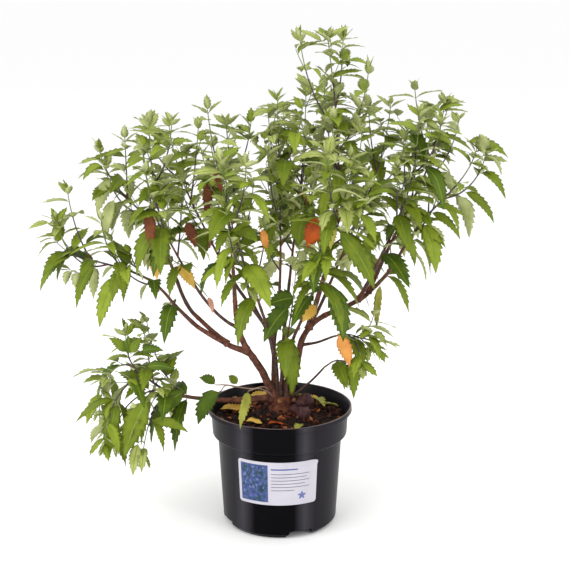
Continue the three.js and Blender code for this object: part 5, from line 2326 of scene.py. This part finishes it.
    def add_blossom(self, draft: MeshDraft, spot: Pair, turn: float, size: float,
                    lift: float, ink: Finish) -> None:
        """Adds a five-petalled blossom.

        Args:
            draft: The piece.
            spot: Its middle on the flat label.
            turn: Its angle in degrees.
            size: Its radius to the petals' ends.
            lift: How far it stands out from the paper.
            ink: Its ink.
        """
        first = math.radians(turn)
        outline = []
        for k in range(self.petal_points):
            angle = first + 2 * math.pi * k / self.petal_points
            wave = self.petal_dent * math.cos(self.petals * (angle - first))
            reach = size * (1 - self.petal_dent + wave)
            outline.append((spot[0] + reach * math.cos(angle), spot[1] + reach * math.sin(angle)))
        self.add_flat(draft, outline, lift, ink)

    def add_rules(self, draft: MeshDraft) -> None:
        """Adds the thin rules beside the panel, and one round blossom under them.

        Args:
            draft: The piece.
        """
        left = -self.width / 2 + self.margin * 2 + self.panel_width
        for rule in (self.title, *self.text):
            ink = PrintFinish.VIOLET if rule is self.title else PrintFinish.GREY
            self.add_band(draft, left, left + rule.length, self.rule_columns, rule.tall / 2,
                          ink.value, rule.up)
        across, up = self.flower_at
        inks = (PrintFinish.LILAC.value, PrintFinish.GREY.value)
        for number, (size, ink) in enumerate(zip(self.flower_sizes, inks), 1):
            self.add_blossom(draft, (left + across, up), self.flower_turn, size,
                             self.ink * number, ink)


class SoilFinish(Enum):
    """The compost, its bark chips and what lies on it."""

    EARTH = Finish("compost_earth", (38, 18, 10), (16, 8, 6), 240, (0.85, 1.0), 1.2, 420)
    RUST = Finish("chip_rust", (104, 44, 20), (58, 25, 13), 200, (0.7, 0.9), 0.4, 700)
    DARK = Finish("chip_dark", (46, 25, 19), (24, 14, 12), 200, (0.7, 0.9), 0.4, 700)
    TAN = Finish("chip_tan", (168, 104, 58), (118, 66, 36), 200, (0.7, 0.9), 0.4, 700)
    PLUM = Finish("chip_plum", (90, 54, 54), (44, 24, 28), 160, (0.5, 0.75), 0.5, 500)
    ROOT = Finish("dry_root", (168, 142, 122), (128, 100, 84), 200, (0.7, 0.9), 0.2, 900)


@dataclass(frozen=True)
class Litter:
    """A dead leaf on the compost: its stalk's end, the way it lies, and its colour."""

    x: float
    y: float
    z: float
    azimuth: float
    rise: Triple
    size: float
    width_share: float
    tint: Tint
    roll: float = 0.0


@dataclass(frozen=True)
class Chunk:
    """A lump of dark bark: its middle, half its sizes, its tilt, and its seed."""

    middle: Triple
    sizes: Triple
    tilt: Triple
    seed: int = 0


@dataclass(frozen=True)
class Compost:
    """The compost's rough top, with bark chips, dead leaves and dry stalks."""

    radius: float = 87.2
    rings: int = 60
    sides: int = 150
    raise_by: float = 0.7
    middle_ring: float = 0.02
    coarse_scale: float = 0.13
    coarse_layer: float = 3.0
    fine_scale: float = 0.45
    fine_layer: float = 9.0
    coarse: float = 1.5
    calm_edge: float = 0.4
    crust: float = 3.0
    chips: int = 620
    seed: int = 11
    chip_reach: float = 0.965
    chip_size: Pair = (1.6, 5.2)
    large_share: float = 0.12
    large_scale: float = 1.5
    chip_breadth: Pair = (0.4, 0.75)
    chip_height: Pair = (0.12, 0.3)
    least_height: float = 0.4
    chip_tilt: Pair = (-26, 26)
    chip_sunk: float = 0.6
    chip_heap: float = 1.6
    chip_clear: float = 0.5
    crown_clear: float = 0.9
    rust_until: float = 0.36
    dark_until: float = 0.9
    crease: float = 38.0
    block_sides: int = 8
    block_levels: tuple[Pair, ...] = ((-1, 0.8), (-0.3, 1.0), (0.5, 0.94), (1, 0.62))
    block_reach: Pair = (0.72, 1.12)
    block_uneven: Pair = (-0.2, 0.2)
    litter_swerve: Pair = (-20, 20)
    litter_fold: Pair = (20, 34)
    litter_wave: float = 0.14
    thread_radii: Pair = (1.2, 0.7)
    thread_sides: int = 8
    thread_per_step: int = 6
    litter: tuple[Litter, ...] = (
        Litter(-74, 36, 148, 14, (16, 4, -12), 30, 0.24, Tint.YELLOW, 20),
        Litter(-79, 12, 147, -2, (10, 2, -10), 36, 0.18, Tint.YELLOW, -10),
        Litter(-60, 2, 147, 12, (8, 0, -8), 30, 0.22, Tint.ORANGE, 10),
        Litter(-40, -50, 193, -98, (-20, -25, -80), 62, 0.11, Tint.OLIVE, 40),
        Litter(-76, -24, 184, 190, (-20, -62, -76), 56, 0.19, Tint.DEEP, 60),
        Litter(-84, -10, 188, 170, (50, 20, -10), 25, 0.26, Tint.DEEP, 40),
        Litter(-56, 4, 184, 150, (60, 30, 10), 18, 0.3, Tint.MID, 60),
        Litter(44, 48, 150, -64, (18, 2, -12), 44, 0.18, Tint.OLIVE, 16),
        Litter(79, 18, 149, 172, (14, 2, -10), 34, 0.18, Tint.OLIVE, -20),
        Litter(56, 48, 148, 196, (14, 4, -10), 30, 0.2, Tint.YELLOW, 10),
        Litter(-44, -34, 147, -16, (10, 0, -10), 24, 0.24, Tint.YELLOW, 0),
        Litter(-16, -44, 146, 10, (10, 0, -10), 22, 0.26, Tint.ORANGE, 14),
        Litter(22, -62, 145, 80, (8, 0, -8), 26, 0.22, Tint.OLIVE, 0),
        Litter(-12, 68, 147, 190, (10, 0, -8), 32, 0.2, Tint.YELLOW, 12),
        Litter(36, 64, 147, 200, (10, 2, -10), 28, 0.2, Tint.OLIVE, -8),
    )
    chunks: tuple[Chunk, ...] = (
        Chunk((33, 8, 157), (14, 11, 12), (24, -30, 40), 5),
        Chunk((30, -12, 151), (15, 11, 8), (8, 12, 70), 6),
        Chunk((20, -2, 151), (9, 7, 6), (-12, 20, 10), 8),
    )
    threads: tuple[tuple[Triple, ...], ...] = (
        ((-6, 10, 168), (-20, 2, 181), (-36, -2, 180), (-56, 0, 182), (-70, -12, 188),
         (-76, -24, 184)),
        ((-56, 0, 182), (-70, -4, 186), (-84, -10, 188)),
        ((-6, 10, 162), (-16, -8, 178), (-28, -30, 190), (-40, -50, 193)),
    )

    def build(self, body: bpy.types.Object) -> None:
        """Makes the top, the chips and the litter, and dresses the compost under them.

        Args:
            body: The compost's solid.
        """
        body.data.materials.clear()
        body.data.materials.append(SoilFinish.EARTH.value.material())
        LOG.info("%s: %d faces", body.name, len(body.data.polygons))
        draft = MeshDraft()
        self.add_top(draft)
        draft.make("compost_top")
        draft = MeshDraft()
        draws = Draws(self.seed)
        for _ in range(self.chips):
            self.add_chip(draft, draws)
        for chunk in self.chunks:
            self.add_block(draft, chunk, SoilFinish.PLUM.value, Draws(chunk.seed))
        draft.make("bark_chips", (), self.crease)
        self.make_litter()

    def add_top(self, draft: MeshDraft) -> None:
        """Adds the compost's top as a closed crust.

        Args:
            draft: The piece.
        """
        round_once = circle(self.sides)
        rows = []
        for i in range(self.rings + 1):
            radius = self.radius * (i + self.middle_ring) / (self.rings + self.middle_ring)
            edge = 1 - self.calm_edge * smoothstep(radius, 0, self.radius)
            for c, s in round_once:
                x, y = radius * c, radius * s
                coarse = noise.noise(Vector((x, y, self.coarse_layer)) * self.coarse_scale)
                fine = noise.noise(Vector((x, y, self.fine_layer)) * self.fine_scale)
                rough = (coarse * self.coarse + fine) * edge
                z = POT.soil_height(x, y) + self.raise_by + rough
                rows.append((x, y, z))
        rows.extend((self.radius * c, self.radius * s, POT.soil_edge - self.crust)
                    for c, s in round_once)
        faces = [face[::-1] for face in closed_rings(self.rings + 2, self.sides)]
        draft.add(np.array(rows), faces, SoilFinish.EARTH.value)

    def add_chip(self, draft: MeshDraft, draws: Draws) -> None:
        """Adds one chip of bark.

        Args:
            draft: The piece.
            draws: The stream of draws.
        """
        away = self.radius * self.chip_reach * math.sqrt(draws())
        angle = draws() * 2 * math.pi
        x, y = away * math.cos(angle), away * math.sin(angle)
        size = draws.between(*self.chip_size)
        size *= self.large_scale if draws() < self.large_share else 1
        sizes = (size, size * draws.between(*self.chip_breadth),
                 size * draws.between(*self.chip_height) + self.least_height)
        tilt = (draws.between(*self.chip_tilt), draws.between(*self.chip_tilt), draws() * 360)
        pick = draws()
        common = SoilFinish.RUST if pick < self.rust_until else SoilFinish.DARK
        kind = common if pick < self.dark_until else SoilFinish.TAN
        z = (POT.soil_height(x, y) + self.raise_by + sizes[2] * self.chip_sunk
             + draws() * self.chip_heap)
        room = self.radius - size - self.chip_clear
        if away > room:
            x, y = x * room / away, y * room / away
        if math.hypot(x - CROWN.x, y - CROWN.y) > CROWN.radius * self.crown_clear:
            self.add_block(draft, Chunk((x, y, z), sizes, tilt), kind.value, draws)

    def add_block(self, draft: MeshDraft, chunk: Chunk, finish: Finish, draws: Draws) -> None:
        """Adds an uneven block with eight-sided faces.

        Args:
            draft: The piece.
            chunk: Its middle, sizes and tilt.
            finish: Its finish.
            draws: The stream of draws.
        """
        turn = Euler([math.radians(angle) for angle in chunk.tilt]).to_matrix()
        centre, (long, broad, high) = Vector(chunk.middle), chunk.sizes
        rows = []
        for level, spread in self.block_levels:
            for c, s in circle(self.block_sides):
                reach = spread * draws.between(*self.block_reach)
                up = level + draws.between(*self.block_uneven)
                local = Vector((c * reach * long, s * reach * broad, up * high))
                rows.append((centre + turn @ local)[:])
        faces = closed_rings(len(self.block_levels), self.block_sides)
        draft.add(np.array(rows), faces, finish)

    def make_litter(self) -> None:
        """Makes the dead leaves, the dry root and the thin stem that carries one leaf."""
        template = LeafKind.LARGE.value.template()
        draft = MeshDraft()
        draws = Draws(self.seed + 1)
        for item in self.litter:
            leaf = Leaf(Vector((item.x, item.y, item.z)), item.azimuth, item.rise, item.size,
                        item.size * item.width_share, draws.between(*self.litter_swerve),
                        item.roll, draws.between(*self.litter_swerve),
                        draws.between(*self.litter_fold), self.litter_wave, draws(), item.tint)
            draft.add(template.place(leaf), template.faces, item.tint.value)
        for line in self.threads:
            path = Path([Vector(point) for point in line]).smooth(self.thread_per_step)
            tube = Tube(path, lambda t: lerp(*self.thread_radii, t), self.thread_sides)
            draft.add(*tube.shape(), SoilFinish.ROOT.value)
        draft.make("litter")


@dataclass(frozen=True)
class Lamp:
    """A soft light: its name, its place and size in metres, and its power in watts."""

    name: str
    place: Triple
    size: Pair
    power: float


@dataclass(frozen=True)
class Studio:
    """The floor, the light and the camera."""

    camera_place: Triple = (7.0, -1600.0, 721.4)
    pitch: float = 14.09
    lens: float = 81.02
    sensor: float = 36.0
    farthest: float = 200.0
    floor_reach: float = 60.0
    floor_shade: float = 0.985
    floor_roughness: float = 0.9
    floor_gloss: float = 0.1
    daylight: float = 1.0
    aim: Triple = (0.0, 0.0, 0.3)
    lamps: tuple[Lamp, ...] = (
        Lamp("key", (-1.3, -1.5, 2.0), (1.4, 1.4), 20),
        Lamp("fill", (1.6, -1.0, 1.3), (1.2, 1.2), 6),
        Lamp("top", (0.1, 0.5, 2.4), (1.6, 1.6), 12),
        Lamp("left_strip", (-1.46, -0.65, 0.6), (0.16, 1.2), 7),
        Lamp("right_strip", (1.15, -1.11, 0.6), (0.16, 1.2), 5),
    )

    def build(self) -> None:
        """Sets up the studio."""
        scene = bpy.context.scene
        camera = bpy.data.cameras.new("camera")
        camera.lens = self.lens
        camera.sensor_width = self.sensor
        camera.clip_end = self.farthest
        view = bpy.data.objects.new("camera", camera)
        view.location = Vector(self.camera_place) * MM
        view.rotation_euler = (math.radians(90 - self.pitch), 0, 0)
        scene.collection.objects.link(view)
        scene.camera = view
        self.add_floor()
        world = bpy.data.worlds.new("daylight")
        world.use_nodes = True
        sky = world.node_tree.nodes["Background"]
        sky.inputs["Color"].default_value = (1.0, 1.0, 1.0, 1.0)
        sky.inputs["Strength"].default_value = self.daylight
        scene.world = world
        for lamp in self.lamps:
            self.add_light(lamp)
        scene.view_settings.view_transform = "Standard"

    def add_floor(self) -> None:
        """Adds the plain pale floor."""
        reach, shade = self.floor_reach, self.floor_shade
        mesh = bpy.data.meshes.new("floor")
        corners = [(-reach, -reach, 0), (reach, -reach, 0), (reach, reach, 0),
                   (-reach, reach, 0)]
        mesh.from_pydata(corners, [], [(0, 1, 2, 3)])
        floor = bpy.data.objects.new("floor", mesh)
        sheet = NodeSheet("floor_paint")
        sheet.put(sheet.shader, {
            "Base Color": (shade, shade, shade, 1.0),
            "Roughness": self.floor_roughness,
            "Specular IOR Level": self.floor_gloss,
        })
        mesh.materials.append(sheet.material)
        bpy.context.scene.collection.objects.link(floor)

    def add_light(self, lamp: Lamp) -> None:
        """Adds a light that faces the shrub.

        Args:
            lamp: The light.
        """
        light = bpy.data.lights.new(lamp.name, "AREA")
        light.shape = "RECTANGLE"
        light.size, light.size_y = lamp.size
        light.energy = lamp.power
        holder = bpy.data.objects.new(lamp.name, light)
        holder.location = lamp.place
        towards = Vector(self.aim) - Vector(lamp.place)
        holder.rotation_euler = towards.to_track_quat("-Z", "Y").to_euler()
        bpy.context.scene.collection.objects.link(holder)


def main() -> None:
    """Builds the shrub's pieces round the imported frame, one sub-assembly after another."""
    logging.basicConfig(level=logging.INFO, format="%(message)s")
    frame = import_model()
    Studio().build()
    skeleton = Skeleton()
    Pot().build()
    Label().build()
    Compost().build(frame["nodes"]["compost"])
    WoodyCrown().build()
    Branches().build(skeleton)
    Foliage().build(skeleton)


if __name__ == "__main__":
    main()
